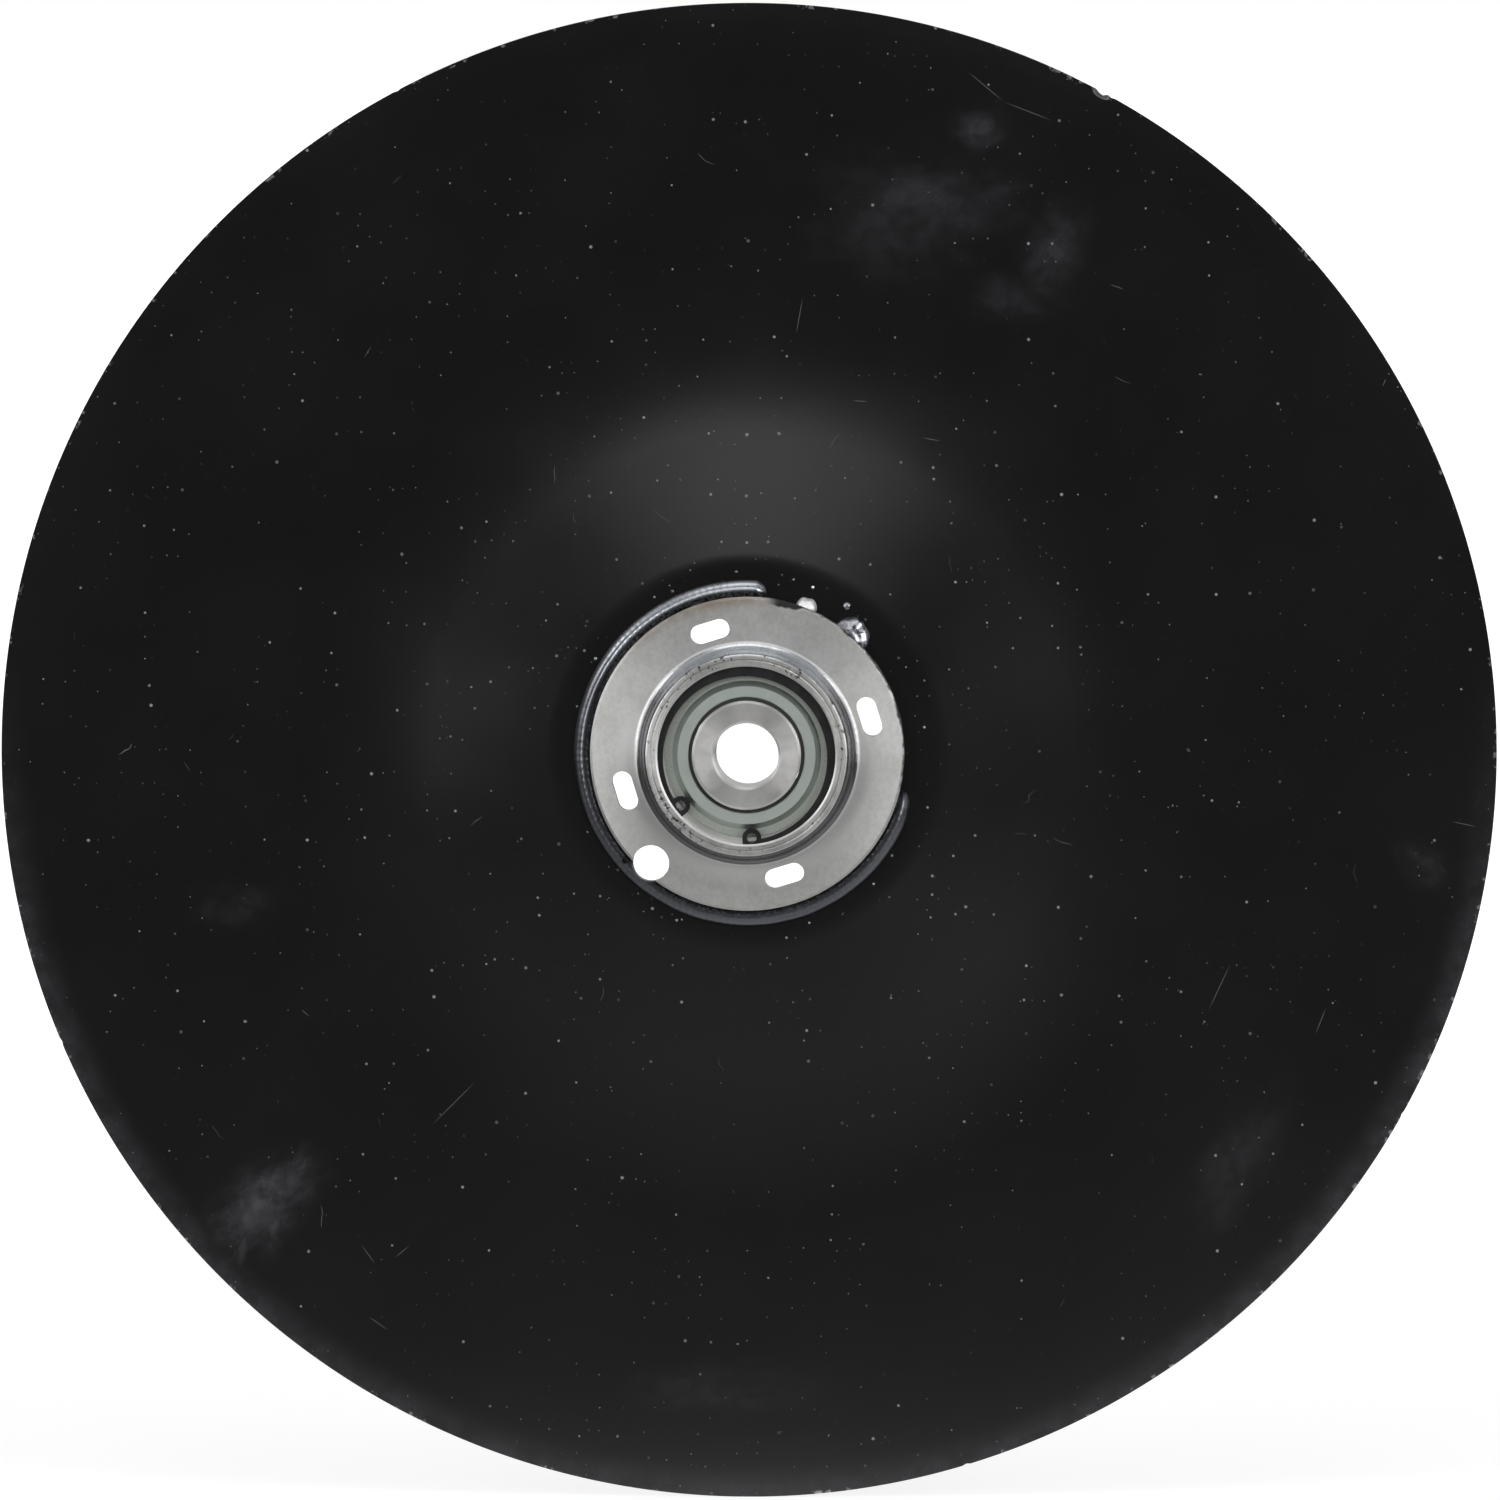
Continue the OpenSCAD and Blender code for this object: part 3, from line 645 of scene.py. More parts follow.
def weld_steel():
    """Weld metal under a blue-black oxide, with a painted highlight on its upper sector and soot with
    painted shade at its toes.
    """
    sheet, disc = new_finish("weld_steel_oxide")
    fine = sheet.noise(disc.point, 1.2, 4.0, 0.65)
    bands = sheet.noise(disc.rings, 0.9, 2.0, 0.5)
    colour = sheet.mix(fine, WELD_DARK, WELD_LIGHT)
    # Painted highlight: lighter colour on the weld's upper sector
    top_highlight = sheet.times(disc.sector(*WELD_HIGHLIGHT_SECTOR), sheet.ramp(fine, 0.2, 0.7, 0.6, 1.0))
    colour = sheet.mix(top_highlight, colour, WELD_PAINTED_HIGHLIGHT)
    colour = sheet.mix(sheet.ramp(bands, 0.45, 0.65, 0.0, 0.5), colour, WELD_BAND)
    # Soot with painted shade: darker in the creases at both toes of the bead, and in the pit
    toe_soot_and_shade = sheet.most(sheet.ramp(disc.radius, *TOE_INNER, 1.0, 0.0),
                     sheet.ramp(disc.radius, *TOE_OUTER))
    toe_soot_and_shade = sheet.times(toe_soot_and_shade, sheet.ramp(fine, 0.25, 0.6, 0.6, 1.0))
    pit = disc.spot(*WELD_PIT, *PIT_SHAPE)
    colour = sheet.mix(sheet.most(toe_soot_and_shade, pit), colour, WELD_SOOT_AND_SHADE)
    rough = sheet.ramp(fine, *NOISE_SPAN, 0.26, 0.38)
    normal = sheet.bump(fine, 0.03, 0.35)
    return sheet.shade(Base_Color=colour, Metallic=1.0, Roughness=rough, Normal=normal)


# The tacks: sector of the smaller one, painted white as a painted highlight
SMALL_TACK_HIGHLIGHT = (68.0, 5.0, 1.5)
TACK_DARK = (0.28, 0.29, 0.32, 1)
TACK_LIGHT = (0.46, 0.47, 0.50, 1)
TACK_SOOT = (0.05, 0.05, 0.055, 1)
TACK_PAINTED_HIGHLIGHT = (0.93, 0.93, 0.93, 1)
TACK_HIGHLIGHT_ROUGH = 0.55


def tack_steel():
    """Bright glassy weld metal of the tacks and the spatter, with the smaller tack painted white as a
    painted highlight.
    """
    sheet, disc = new_finish("tack_steel_bright")
    fine = sheet.noise(disc.point, 1.1, 4.0, 0.65)
    colour = sheet.mix(fine, TACK_DARK, TACK_LIGHT)
    soot = sheet.ramp(sheet.noise(disc.point, 0.5, 3.0, 0.6, seed=2.0), 0.50, 0.62)
    colour = sheet.mix(soot, colour, TACK_SOOT)
    # Painted highlight: the smaller tack painted white
    small_tack_highlight = disc.sector(*SMALL_TACK_HIGHLIGHT)
    colour = sheet.mix(small_tack_highlight, colour, TACK_PAINTED_HIGHLIGHT)
    rough = sheet.ramp(fine, *NOISE_SPAN, 0.24, 0.36)
    rough = sheet.blend(small_tack_highlight, rough, TACK_HIGHLIGHT_ROUGH)
    normal = sheet.bump(fine, 0.03, 0.3)
    return sheet.shade(Base_Color=colour, Metallic=1.0, Roughness=rough, Normal=normal)


CLIP_DARK = (0.008, 0.008, 0.009, 1)
CLIP_LIGHT = (0.020, 0.020, 0.021, 1)


def clip_steel():
    """Phosphated spring steel of the circlip."""
    sheet, disc = new_finish("clip_steel_phosphate")
    fine = sheet.noise(disc.point, 2.5, 4.0, 0.6)
    wide = sheet.noise(disc.point, 0.3, 3.0, 0.5)
    colour = sheet.mix(fine, CLIP_DARK, CLIP_LIGHT)
    rough = sheet.ramp(wide, *NOISE_SPAN, 0.32, 0.48)
    normal = sheet.bump(fine, 0.02, 0.5)
    return sheet.shade(Base_Color=colour, Metallic=0.4, Roughness=rough, Normal=normal)


# The bearing rings: painted highlights on the chamfers at the bore and at the outer edge, radii in mm
BORE_EDGE = (8.7, 8.9)
RING_EDGE = (13.1, 13.3)
RING_DARK = (0.60, 0.595, 0.58, 1)
RING_LIGHT = (0.74, 0.735, 0.72, 1)
RING_STAIN = (0.44, 0.41, 0.37, 1)
CHAMFER_PAINTED_HIGHLIGHT = (0.90, 0.90, 0.89, 1)
CHAMFER_ROUGH = 0.30


def ring_steel():
    """Ground steel of the bearing rings, with painted highlights on the chamfers."""
    sheet, disc = new_finish("ring_steel_ground")
    lines = lathe_lines(sheet, disc, 0.12)
    stain = sheet.noise(disc.point, 0.35, 4.0, 0.6)
    colour = sheet.mix(lines, RING_DARK, RING_LIGHT)
    colour = sheet.mix(sheet.ramp(stain, 0.5, 0.8, 0.0, 0.4), colour, RING_STAIN)
    rough = sheet.ramp(stain, *NOISE_SPAN, 0.36, 0.46)
    # Painted highlights: the chamfers at the bore and at the outer edge painted bright
    edges = sheet.most(sheet.ramp(disc.radius, *RING_EDGE),
                       sheet.ramp(disc.radius, *BORE_EDGE, 1.0, 0.0))
    colour = sheet.mix(edges, colour, CHAMFER_PAINTED_HIGHLIGHT)
    rough = sheet.blend(edges, rough, CHAMFER_ROUGH)
    normal = sheet.bump(lines, 0.01, 0.5)
    return shade_turned(sheet, Base_Color=colour, Metallic=1.0, Roughness=rough, Normal=normal)


# The shields: radii in mm where the khaki tint of the outer step begins
KHAKI_R = (18.6, 19.2)
ZINC_DARK = (0.50, 0.545, 0.512, 1)
ZINC_LIGHT = (0.62, 0.675, 0.636, 1)
ZINC_KHAKI = (0.41, 0.41, 0.36, 1)


def shield_zinc():
    """Zinc plate of the shields, with a khaki tint on the outer step."""
    sheet, disc = new_finish("shield_zinc_plated")
    fine = sheet.noise(disc.point, 1.8, 4.0, 0.6)
    wide = sheet.noise(disc.point, 0.25, 3.0, 0.5)
    colour = sheet.mix(wide, ZINC_DARK, ZINC_LIGHT)
    khaki = sheet.times(sheet.ramp(disc.radius, *KHAKI_R), sheet.ramp(fine, 0.4, 0.7, 0.3, 0.8))
    colour = sheet.mix(khaki, colour, ZINC_KHAKI)
    rough = sheet.ramp(fine, *NOISE_SPAN, 0.40, 0.50)
    normal = sheet.bump(fine, 0.02, 0.4)
    return sheet.shade(Base_Color=colour, Metallic=1.0, Roughness=rough, Normal=normal)


RUBBER_DARK = (0.010, 0.010, 0.011, 1)
RUBBER_LIGHT = (0.024, 0.024, 0.025, 1)


def seal_rubber():
    """Black rubber of the seals."""
    sheet, disc = new_finish("seal_rubber_black")
    fine = sheet.noise(disc.point, 3.0, 4.0, 0.6)
    colour = sheet.mix(fine, RUBBER_DARK, RUBBER_LIGHT)
    rough = sheet.ramp(fine, *NOISE_SPAN, 0.5, 0.68)
    normal = sheet.bump(fine, 0.03, 0.4)
    return sheet.shade(Base_Color=colour, Roughness=rough, Normal=normal)


# Steel inside the bearing: darkest and lightest colour, smoothest and roughest surface
BALL_FINISH = ((0.58, 0.58, 0.58, 1), (0.70, 0.70, 0.71, 1), 0.08, 0.16)
CAGE_FINISH = ((0.40, 0.38, 0.33, 1), (0.52, 0.49, 0.42, 1), 0.28, 0.42)


def bright_steel(name, dark, light, smoothest, roughest):
    """Smooth steel of the pieces inside the bearing, with a thin coat of grease."""
    sheet, disc = new_finish(name)
    fine = sheet.noise(disc.point, 1.5, 3.0, 0.5)
    wide = sheet.noise(disc.point, 0.4, 3.0, 0.5)
    colour = sheet.mix(wide, dark, light)
    rough = sheet.ramp(fine, *NOISE_SPAN, smoothest, roughest)
    normal = sheet.bump(fine, 0.01, 0.2)
    return sheet.shade(Base_Color=colour, Metallic=1.0, Roughness=rough, Normal=normal)


# Shapes

# Angles in degrees past which an edge stays sharp, and the distance in m of double points
BLADE_SHARP = 35.0
WELD_SHARP = 50.0
LUMP_SHARP = 60.0
DOUBLE = 1e-7


def mesh_piece(name, points, faces, material, sharp):
    """A closed mesh with smooth faces and edges that stay sharp past an angle."""
    mesh = bpy.data.meshes.new(name)
    mesh.from_pydata(points, [], faces)
    work = bmesh.new()
    work.from_mesh(mesh)
    bmesh.ops.remove_doubles(work, verts=work.verts, dist=DOUBLE)
    bmesh.ops.recalc_face_normals(work, faces=work.faces)
    for face in work.faces:
        face.smooth = True
    for edge in work.edges:
        edge.smooth = edge.calc_face_angle(0.0) < math.radians(sharp)
    work.to_mesh(mesh)
    work.free()
    piece = bpy.data.objects.new(name, mesh)
    bpy.context.scene.collection.objects.link(piece)
    mesh.materials.append(material)
    return piece


def ring_faces(rounds, count, closed=True):
    """Quads between neighbouring rounds of count points each, each round a closed loop."""
    faces = []
    steps = rounds if closed else rounds - 1
    for i in range(steps):
        here = i * count
        there = (i + 1) % rounds * count
        for k in range(count):
            nxt = (k + 1) % count
            faces.append((here + k, here + nxt, there + nxt, there + k))
    return faces


# Steps along the seat, its bend, the cone, the bend to the rim, and the rim
SEAT_STEPS = 2
SEAT_BEND_STEPS = 8
CONE_STEPS = 4
RIM_BEND_STEPS = 14
RIM_STEPS = 8


def arc_path():
    """Middle line of the blade from the seat to the rim, as radius, height and heading."""
    slope = math.atan(DISH_H / (DISH_R - SEAT_END_R))
    seat_cut = SEAT_BEND_R * math.tan(slope / 2)
    rim_cut = RIM_BEND_R * math.tan(slope / 2)
    mid_h = SEAT_H - BLADE_T / 2
    rim_h = mid_h - DISH_H
    path = []

    def straight(r1, h1, r2, h2, heading, steps):
        """Adds the points of a straight stretch, without its end."""
        for i in range(steps):
            t = i / steps
            path.append((r1 + (r2 - r1) * t, h1 + (h2 - h1) * t, heading))

    def bend(r1, h1, start, stop, radius, steps):
        """Adds the points of an arc between two headings, without its end."""
        side = 1 if stop > start else -1
        centre_r = r1 - side * radius * math.sin(start)
        centre_h = h1 + side * radius * math.cos(start)
        for i in range(steps):
            heading = start + (stop - start) * i / steps
            path.append((centre_r + side * radius * math.sin(heading),
                         centre_h - side * radius * math.cos(heading), heading))

    cone_r1 = SEAT_END_R + seat_cut * math.cos(slope)
    cone_h1 = mid_h - seat_cut * math.sin(slope)
    cone_r2 = DISH_R - rim_cut * math.cos(slope)
    cone_h2 = rim_h + rim_cut * math.sin(slope)
    straight(HOLE_R, mid_h, SEAT_END_R - seat_cut, mid_h, 0.0, SEAT_STEPS)
    bend(SEAT_END_R - seat_cut, mid_h, 0.0, -slope, SEAT_BEND_R, SEAT_BEND_STEPS)
    straight(cone_r1, cone_h1, cone_r2, cone_h2, -slope, CONE_STEPS)
    bend(cone_r2, cone_h2, -slope, 0.0, RIM_BEND_R, RIM_BEND_STEPS)
    straight(DISH_R + rim_cut, rim_h, BLADE_R - BACK_BEVEL_W, rim_h, 0.0, RIM_STEPS)
    return path


# Points of the outline: mm from the edge on the flat rim, and shares of the bevels' widths
RIM_STOP = 7.5
FRONT_STOPS = (0.3, 0.6, 0.85)
BACK_STOPS = (0.35, 0.7)


def blade_outline():
    """Closed section of the blade as radius and height, front side first."""
    path = arc_path()
    half = BLADE_T / 2
    rim_h = SEAT_H - half - DISH_H
    front = [(r - half * math.sin(a), h + half * math.cos(a)) for r, h, a in path]
    back = [(r + half * math.sin(a), h - half * math.cos(a)) for r, h, a in path]
    bevel_w, bevel_h = FRONT_BEVEL
    back_h = BLADE_T - bevel_h - EDGE_T
    for r in (BLADE_R - BACK_BEVEL_W, BLADE_R - RIM_STOP, BLADE_R - bevel_w):
        front.append((r, rim_h + half))
    for t in FRONT_STOPS:
        front.append((BLADE_R - bevel_w * (1 - t), rim_h + half - bevel_h * t))
    front.append((BLADE_R, rim_h + half - bevel_h))
    back.append((BLADE_R - BACK_BEVEL_W, rim_h - half))
    for t in BACK_STOPS:
        back.append((BLADE_R - BACK_BEVEL_W * (1 - t), rim_h - half + back_h * t))
    back.append((BLADE_R, rim_h - half + back_h))
    return front + back[::-1]


def hole_edge(turn, least):
    """Outer radius of the holding hole at a turn, or the given least radius beside it."""
    delta = math.radians(turn - HOLD_TURN)
    across = HOLD_R * math.sin(delta)
    if abs(across) >= HOLD_HOLE_R or math.cos(delta) < 0:
        return least
    return max(least, HOLD_R * math.cos(delta) + math.sqrt(HOLD_HOLE_R ** 2 - across ** 2))


# Nicks in the cutting edge: turn in degrees, half width in degrees, depth in mm
NICKS = ((61.8, 0.45, 0.9), (60.9, 0.25, 0.35), (118.0, 0.3, 0.2), (203.0, 0.4, 0.25),
         (287.0, 0.3, 0.3), (331.0, 0.35, 0.2))
NICK_REACH = 3.0
BLADE_TURNS = 1080
# Waviness of the blade: height in mm, scale of its noise, fades from the seat and to the rim in mm
WAVE_H = 0.20
WAVE_SCALE = 0.016
WAVE_SLICE = 0.5
WAVE_FROM_SEAT = 20.0
WAVE_TO_RIM = (14.0, 2.0)


def nick_depth(turn):
    """Depth of the nicks at a turn, in mm."""
    deep = 0.0
    for middle, half, depth in NICKS:
        off = abs((turn - middle + 180) % 360 - 180)
        deep = max(deep, depth * (1 - smooth_step(0, half, off)))
    return deep


def wave_height(spot, radius):
    """Waviness of the blade in m, which fades out at the seat and at the rim."""
    wave = noise.noise(Vector((spot.x, WAVE_SLICE, spot.z)) / MM * WAVE_SCALE)
    start, stop = WAVE_TO_RIM
    free = smooth_step(SEAT_END_R, SEAT_END_R + WAVE_FROM_SEAT, radius)
    free *= 1 - smooth_step(BLADE_R - start, BLADE_R - stop, radius)
    return WAVE_H * MM * (1 + wave) / 2 * free


def disc_blade(material):
    """The blade with its nicks and its waviness."""
    outline = blade_outline()
    points = []
    for i in range(BLADE_TURNS):
        turn = 360 * i / BLADE_TURNS
        inner = hole_edge(turn, HOLE_R)
        nick = nick_depth(turn)
        for r, h in outline:
            radius = max(r, inner)
            radius -= nick * smooth_step(BLADE_R - NICK_REACH, BLADE_R, radius)
            spot = place(radius, turn, h)
            spot.y -= wave_height(spot, radius)
            points.append(spot)
    faces = ring_faces(BLADE_TURNS, len(outline))
    piece = mesh_piece("disc_blade_painted", points, faces, material, BLADE_SHARP)
    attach(piece, "disc")
    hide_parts("disc_blade")


# Weld bead: stations along it, points across it, and lengths of its ends in degrees
WELD_STEPS = 1000
WELD_POINTS = 22
WELD_ENDS = (5.0, 14.0)
# Its section's size: mean, spread, scale and seed of the noise, and least share at an end
BEAD_MEAN = 0.965
BEAD_SPREAD = 0.035
BEAD_NOISE = (0.09, 3.1)
BEAD_LEAST = 0.02
# Ripples: number in a full turn, share of the section, and lag of the bead's crown in radians
RIPPLES = 150
RIPPLE_SHARE = 0.006
RIPPLE_LAG = 1.6
# Groove along the face: share, mean and spread of its depth, its noise, its rise and half width
GROOVE_SHARE = 0.05
GROOVE_DEPTH = (0.6, 0.6)
GROOVE_NOISE = (0.03, 7.7)
GROOVE_AT = 46.0
GROOVE_HALF = 7.0
# Lumps and the valley at the plate: shares, scales and seed of the noise, rise in degrees
LUMP_SHARE = 0.015
LUMP_NOISE = (0.22, 0.02, 5.0)
VALLEY_SHARE = 0.26
VALLEY_RISE = (58.0, 90.0)


def bead_size(turn):
    """Size of the bead's section over its full size, which falls off at both ends."""
    scale, seed = BEAD_NOISE
    size = BEAD_MEAN + BEAD_SPREAD * noise.noise(Vector((turn * scale, seed, 0.0)))
    for far, length in ((turn - WELD_FROM, WELD_ENDS[0]), (WELD_TO - turn, WELD_ENDS[1])):
        inside = min(far / length, 1.0)
        size *= math.sqrt(max(1 - (1 - inside) ** 2, BEAD_LEAST))
    return size


def groove_depth(turn, rise):
    """Depth of the groove along the bead's face, as a share of the section."""
    scale, seed = GROOVE_NOISE
    mean, spread = GROOVE_DEPTH
    deep = mean + spread * noise.noise(Vector((turn * scale, seed, 0.0)))
    return GROOVE_SHARE * deep * math.exp(-((rise - GROOVE_AT) / GROOVE_HALF) ** 2)


def bead_swell(turn, rise):
    """Reach of the bead's face over a plain ellipse, at a rise from the blade to the plate."""
    crown = math.sin(math.radians(2 * rise))
    ripple = math.sin(math.radians(RIPPLES * turn) + RIPPLE_LAG * crown)
    along, across, seed = LUMP_NOISE
    lump = noise.noise(Vector((turn * along, rise * across, seed)))
    swell = 1 + RIPPLE_SHARE * crown * ripple + LUMP_SHARE * lump - groove_depth(turn, rise)
    return swell - VALLEY_SHARE * smooth_step(*VALLEY_RISE, rise)


def corner_bead(stations):
    """Closed mesh through sections that lie in the corner between the plate and the blade."""
    points = [point for station in stations for point in station]
    count = len(stations[0])
    faces = ring_faces(len(stations), count, closed=False)
    faces.append(tuple(range(count)))
    faces.append(tuple(len(points) - count + k for k in range(count)))
    return points, faces


def weld_bead(material):
    """The weld round the plate, with its ripples, and cut by the holding hole."""
    stations = []
    for i in range(WELD_STEPS + 1):
        turn = WELD_FROM + (WELD_TO - WELD_FROM) * i / WELD_STEPS
        size = bead_size(turn)
        inner = hole_edge(turn, PLATE_R)
        steepest = math.degrees(math.acos(min((inner - PLATE_R) / (WELD_LEG_R * size), 1.0)))
        station = [place(inner, turn, SEAT_H)]
        for k in range(WELD_POINTS):
            rise = steepest * (1 - k / (WELD_POINTS - 1))
            reach = size * bead_swell(turn, rise)
            r = PLATE_R + WELD_LEG_R * reach * math.cos(math.radians(rise))
            h = SEAT_H + WELD_LEG_H * reach * math.sin(math.radians(rise))
            station.append(place(max(r, inner), turn, h))
        stations.append(station)
    piece = mesh_piece("weld_bead_rippled", *corner_bead(stations), material, WELD_SHARP)
    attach(piece, "disc")
    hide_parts("weld_bead")


# Tacks: turn in degrees, half length along the edge, reach over the blade and up the plate
TACKS = ((48.7, 4.8, 4.3, 2.8), (68.0, 2.7, 2.7, 2.2))
TACK_STEPS = 48
TACK_POINTS = 20
TACK_LEAST = 0.01
# Lumps of the tacks: scales of the noise, first seed and step, share, and largest swell
TACK_NOISE = (1.3, 1.2)
TACK_SEED = (3.0, 4.7)
TACK_LUMP = 0.30
TACK_MOST = 1.15


def joined(solids):
    """Points and faces of several solids in one mesh."""
    points = []
    faces = []
    for more, more_faces in solids:
        first = len(points)
        points += more
        faces += [tuple(first + k for k in face) for face in more_faces]
    return points, faces


def tack_stations(turn, length, reach, rise_h, seed):
    """Sections of one lump of weld metal in the corner of the plate and the blade."""
    stations = []
    along_scale, rise_scale = TACK_NOISE
    for i in range(TACK_STEPS + 1):
        along = 2 * i / TACK_STEPS - 1
        here = turn + math.degrees(along * length / PLATE_R)
        size = math.sqrt(max(1 - along ** 2, TACK_LEAST))
        station = [place(PLATE_R, here, SEAT_H)]
        for k in range(TACK_POINTS):
            rise = math.radians(90 * (1 - k / (TACK_POINTS - 1)))
            lump = noise.noise(Vector((along * along_scale, rise * rise_scale, seed)))
            swell = size * min(1 + TACK_LUMP * lump, TACK_MOST)
            station.append(place(PLATE_R + reach * swell * math.cos(rise), here,
                                 SEAT_H + rise_h * swell * math.sin(rise)))
        stations.append(station)
    return stations


def tack_welds(material):
    """The two lumps of weld metal between the ends of the bead."""
    seed, step = TACK_SEED
    solids = [corner_bead(tack_stations(*tack, seed + step * number))
              for number, tack in enumerate(TACKS)]
    piece = mesh_piece("tack_welds_lumpy", *joined(solids), material, LUMP_SHARP)
    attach(piece, "disc")
    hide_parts("tack_welds")


# Weld spatter on the seat: number, distances from the axis and radii in mm
SPATTER_COUNT = 14
SPATTER_AT = (45.3, 46.3)
SPATTER_R = (0.22, 0.5)
# The one larger bead beside the tacks: distance from the axis, turn in degrees, radius
LARGE_SPATTER = (45.2, 56.0, 1.05)
# Shape of a bead, in shares of its radius: sunk by, lifted by and squashed to
SPATTER_SINK = 0.35
SPATTER_LIFT = 0.07
SPATTER_SQUASH = 0.75
SPATTER_RINGS = 8
SPATTER_SIDES = 20


def bead_dome(distance, turn, r):
    """Points and faces of a closed dome of weld metal that sits on the seat."""
    middle = place(distance, turn, SEAT_H + SPATTER_LIFT * r)
    low = -math.asin(SPATTER_SINK)
    points = []
    for i in range(SPATTER_RINGS):
        rise = low + (math.pi / 2 - low) * i / SPATTER_RINGS
        for k in range(SPATTER_SIDES):
            side = 2 * math.pi * k / SPATTER_SIDES
            offset = Vector((math.cos(side) * math.cos(rise), -SPATTER_SQUASH * math.sin(rise),
                             math.sin(side) * math.cos(rise)))
            points.append(middle + offset * r * MM)
    faces = ring_faces(SPATTER_RINGS, SPATTER_SIDES, closed=False)
    faces.append(tuple(range(SPATTER_SIDES)))
    top = len(points)
    last = top - SPATTER_SIDES
    points.append(middle + Vector((0, -SPATTER_SQUASH * r, 0)) * MM)
    for k in range(SPATTER_SIDES):
        faces.append((last + k, last + (k + 1) % SPATTER_SIDES, top))
    return points, faces


def weld_spatter(material, rng):
    """Small beads of weld metal on the blade, round the weld."""
    solids = [bead_dome(*LARGE_SPATTER)]
    for _ in range(SPATTER_COUNT):
        solids.append(bead_dome(rng.uniform(*SPATTER_AT), rng.uniform(0.0, 360.0),
                                rng.uniform(*SPATTER_R)))
    piece = mesh_piece("weld_spatter", *joined(solids), material, LUMP_SHARP)
    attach(piece, "disc")


# Stage, light and camera

# Camera: distance in m, rise and turn in degrees, half the picture and half the disc in pixels,
# width of the sensor in mm, and the point it looks at in mm
CAMERA_FAR = 5.0
CAMERA_RISE = 3.0
CAMERA_TURN = 1.5
FRAME_HALF = 750.0
RIM_HALF = 747.9
SENSOR = 36.0
AIM = (0.393, 10.5, 0.304)


def camera():
    """Camera that frames the disc as the photo does."""
    data = bpy.data.cameras.new("camera")
    data.sensor_width = SENSOR
    data.lens = SENSOR / 2 * CAMERA_FAR / (BLADE_R * MM) * RIM_HALF / FRAME_HALF
    made = bpy.data.objects.new("camera", data)
    bpy.context.scene.collection.objects.link(made)
    rise = math.radians(CAMERA_RISE)
    turn = math.radians(CAMERA_TURN)
    back = Vector((math.sin(turn) * math.cos(rise), -math.cos(turn) * math.cos(rise),
                   math.sin(rise)))
    made.location = Vector(AIM) * MM + back * CAMERA_FAR
    made.rotation_mode = "QUATERNION"
    made.rotation_quaternion = (-back).to_track_quat("-Z", "Y")
    bpy.context.scene.camera = made


def shown_ray(sheet):
    """1 for rays that show the stage itself: camera, glossy and transmitted rays."""
    path = sheet.node("LightPath")
    seen = sheet.math("MAXIMUM", path.outputs["Is Camera Ray"], path.outputs["Is Glossy Ray"])
    return sheet.math("MAXIMUM", seen, path.outputs["Is Transmission Ray"]), path


# The floor: size in m, greys, its own glow, the glow's share near the disc, and where it takes over
FLOOR_SIZE = 40.0
FLOOR_DARK = (0.84, 0.84, 0.84, 1)
FLOOR_LIGHT = (0.88, 0.88, 0.88, 1)
FLOOR_GLOW = 1.33
FLOOR_SHARE = 0.6
FLOOR_CLEAR = (0.5, 2.0)
# Its glow in gloss: far off and near by, how fast it dims in m, and the brighter patch on the right
GLOSS_FAR = 0.08
GLOSS_NEAR = 0.92
GLOSS_FADE = 0.10
GLOSS_SIDE = (0.03, 0.25)
GLOSS_REACH = (0.5, 1.0)
GLOSS_RIGHT = 2.0


def floor_gloss(sheet, coords, far):
    """Glow of the floor as glossy rays see it."""
    fade = sheet.math("ADD", 1.0, sheet.math("DIVIDE", far, GLOSS_FADE))
    dim = sheet.math("ADD", GLOSS_FAR, sheet.math("DIVIDE", GLOSS_NEAR, fade))
    across = sheet.node("SeparateXYZ")
    sheet.feed(across.inputs[0], coords)
    right = sheet.times(sheet.ramp(across.outputs[0], *GLOSS_SIDE),
                        sheet.ramp(far, *GLOSS_REACH, 1.0, 0.0))
    return sheet.times(dim, sheet.blend(right, 1.0, GLOSS_RIGHT))


def stage_floor():
    """Pale floor: white to the eye with the object's shadow, dimmer with distance in gloss."""
    sheet = new_sheet("stage_floor")
    coords = sheet.node("TexCoord").outputs["Object"]
    far = sheet.vector("LENGTH", coords)
    seen, path = shown_ray(sheet)
    glossy = path.outputs["Is Glossy Ray"]
    grain = sheet.noise(coords, 6.0, 3.0, 0.5)
    diffuse = sheet.node("BsdfDiffuse")
    sheet.feed(diffuse.inputs["Color"], sheet.mix(grain, FLOOR_DARK, FLOOR_LIGHT))
    glow = sheet.node("Emission")
    glow.inputs["Color"].default_value = WHITE
    gloss = floor_gloss(sheet, coords, far)
    sheet.feed(glow.inputs["Strength"], sheet.blend(glossy, FLOOR_GLOW, gloss))
    share = sheet.ramp(far, *FLOOR_CLEAR, FLOOR_SHARE, 1.0)
    share = sheet.times(seen, sheet.blend(glossy, share, 1.0))
    both = sheet.node("MixShader")
    sheet.feed(both.inputs["Fac"], share)
    sheet.feed(both.inputs[1], diffuse.outputs[0])
    sheet.feed(both.inputs[2], glow.outputs[0])
    sheet.feed(sheet.out.inputs["Surface"], both.outputs[0])
    return sheet.owner


def stage_plane(name, size, location, material):
    """Level square plane of the stage."""
    mesh = bpy.data.meshes.new(name)
    half = size / 2
    corners = [(-half, -half, 0), (half, -half, 0), (half, half, 0), (-half, half, 0)]
    mesh.from_pydata(corners, [], [(0, 1, 2, 3)])
    mesh.materials.append(material)
    plane = bpy.data.objects.new(name, mesh)
    plane.location = location
    bpy.context.scene.collection.objects.link(plane)
    return plane


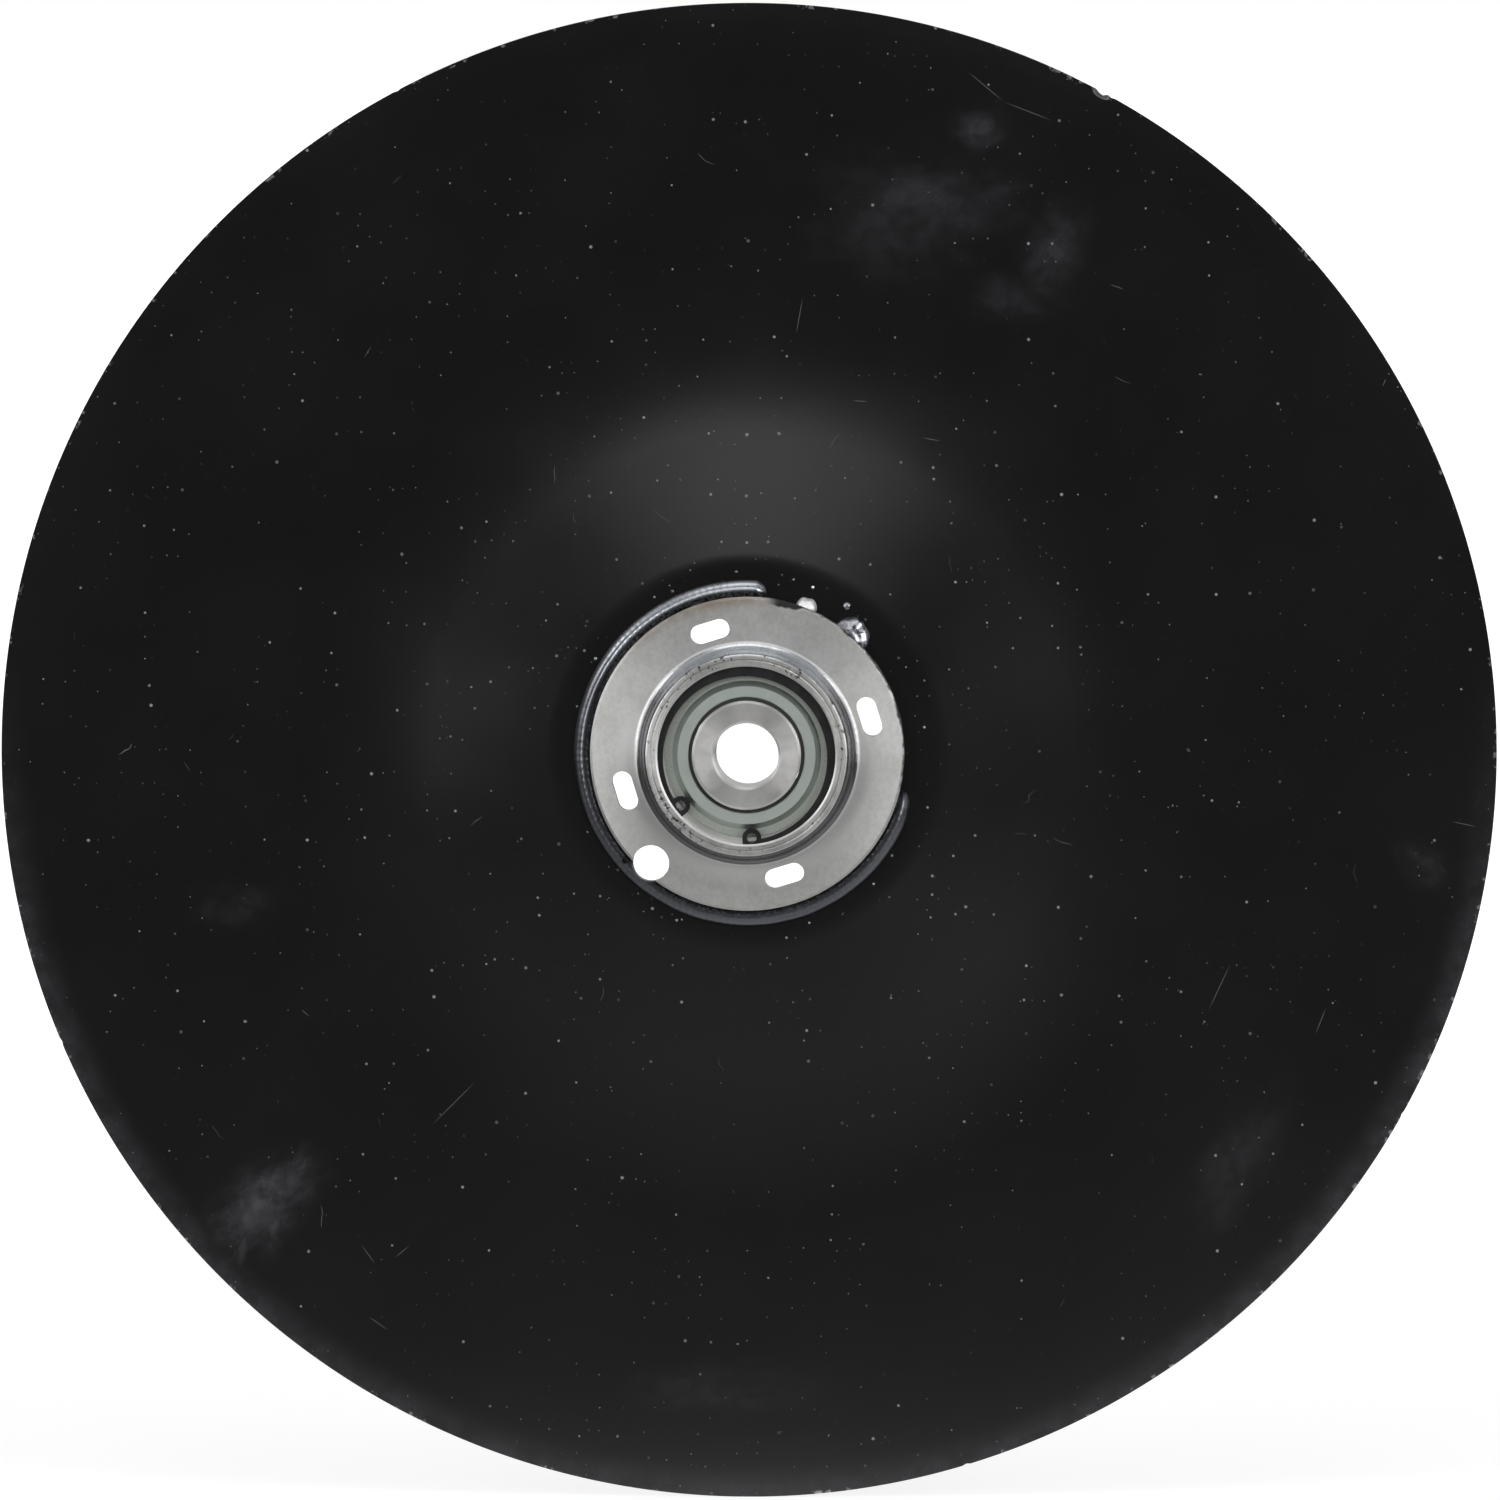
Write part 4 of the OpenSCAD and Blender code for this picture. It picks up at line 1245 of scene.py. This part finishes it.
# Softboxes: place in m, width and height in m, power in W
SOFTBOXES = {
    "softbox_high": ((0.0, -1.6, 2.2), 1.6, 1.6, 10),
    "softbox_left": ((-1.65, -1.65, 0.35), 1.25, 1.8, 27),
    "softbox_right": ((1.65, -1.65, 0.35), 1.25, 1.8, 30),
}


def softbox(name, location, width, height, watts):
    """Area light that faces the disc's middle and isn't seen itself."""
    data = bpy.data.lights.new(name, "AREA")
    data.shape = "RECTANGLE"
    data.size = width
    data.size_y = height
    data.energy = watts
    lamp = bpy.data.objects.new(name, data)
    lamp.location = location
    lamp.rotation_mode = "QUATERNION"
    toward = -Vector(location).normalized()
    lamp.rotation_quaternion = toward.to_track_quat("-Z", "Y")
    lamp.visible_camera = False
    bpy.context.scene.collection.objects.link(lamp)


# Light from the world: behind the camera, all round, and the angles between them in degrees
WORLD_FRONT = 0.10
WORLD_AROUND = 0.45
WORLD_EDGE = (62.0, 18.0)
# Wide window above the camera: level, middle and half size in degrees, and its soft edge
WINDOW_LEVEL = 1.45
WINDOW_AT = (-0.2, 22.0)
WINDOW_HALF = (21.0, 8.7)
WINDOW_SOFT = (0.45, 1.25)


def window_light(sheet, x, y, z):
    """Light of the window in a direction, whose -Y points from the disc to the camera."""
    across = sheet.math("ARCTAN2", x, sheet.math("MULTIPLY", y, -1.0))
    rise = sheet.math("ARCSINE", z)
    squares = []
    for angle, middle, half in zip((across, rise), WINDOW_AT, WINDOW_HALF):
        off = sheet.math("SUBTRACT", angle, math.radians(middle))
        off = sheet.math("DIVIDE", off, math.radians(half))
        squares.append(sheet.math("POWER", off, 2.0))
    far = sheet.math("SQRT", sheet.math("ADD", *squares))
    return sheet.ramp(far, *WINDOW_SOFT, WINDOW_LEVEL, 0.0)


def studio_world():
    """Soft even light, darker behind the camera, and white to the eye."""
    world = bpy.data.worlds.new("studio")
    bpy.context.scene.world = world
    sheet = Sheet(world, "OutputWorld")
    way = sheet.node("SeparateXYZ")
    sheet.feed(way.inputs[0], sheet.node("TexCoord").outputs["Generated"])
    x, y, z = way.outputs
    edge = [math.cos(math.radians(angle)) for angle in WORLD_EDGE]
    level = sheet.ramp(sheet.math("MULTIPLY", y, -1.0), *edge, WORLD_AROUND, WORLD_FRONT)
    level = sheet.math("ADD", level, window_light(sheet, x, y, z))
    seen = sheet.node("LightPath").outputs["Is Camera Ray"]
    back = sheet.node("Background")
    back.inputs["Color"].default_value = WHITE
    sheet.feed(back.inputs["Strength"], sheet.blend(seen, level, 1.0))
    sheet.feed(sheet.out.inputs["Surface"], back.outputs[0])


def studio():
    """Floor, world and lights round the disc."""
    floor_z = cad_box[0].z
    floor = stage_plane("floor", FLOOR_SIZE, (0, 0, floor_z), stage_floor())
    studio_world()
    for name, settings in SOFTBOXES.items():
        softbox(name, *settings)
    bpy.context.scene.view_settings.view_transform = "Standard"


# Build


def dress_nodes(finishes):
    """Gives each node of the frame the finish of its record slot."""
    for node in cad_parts.values():
        slot = node.material_slots[0]
        base = slot.material.name.split(".")[0]
        slot.material = finishes[base]


def main():
    """Dresses the frame, adds the pieces and the stage."""
    rng = random.Random(SEED)
    paint = black_paint()
    weld = weld_steel()
    finishes = {
        "blade_paint": paint,
        "hub_steel": hub_steel(),
        "weld_steel": weld,
        "clip_steel": clip_steel(),
        "ring_steel": ring_steel(),
        "shield_zinc": shield_zinc(),
        "seal_rubber": seal_rubber(),
        "ball_steel": bright_steel("ball_steel_polished", *BALL_FINISH),
        "cage_steel": bright_steel("cage_steel_pressed", *CAGE_FINISH),
    }
    dress_nodes(finishes)
    disc_blade(paint)
    weld_bead(weld)
    bright = tack_steel()
    tack_welds(bright)
    weld_spatter(bright, rng)
    camera()
    studio()


main()
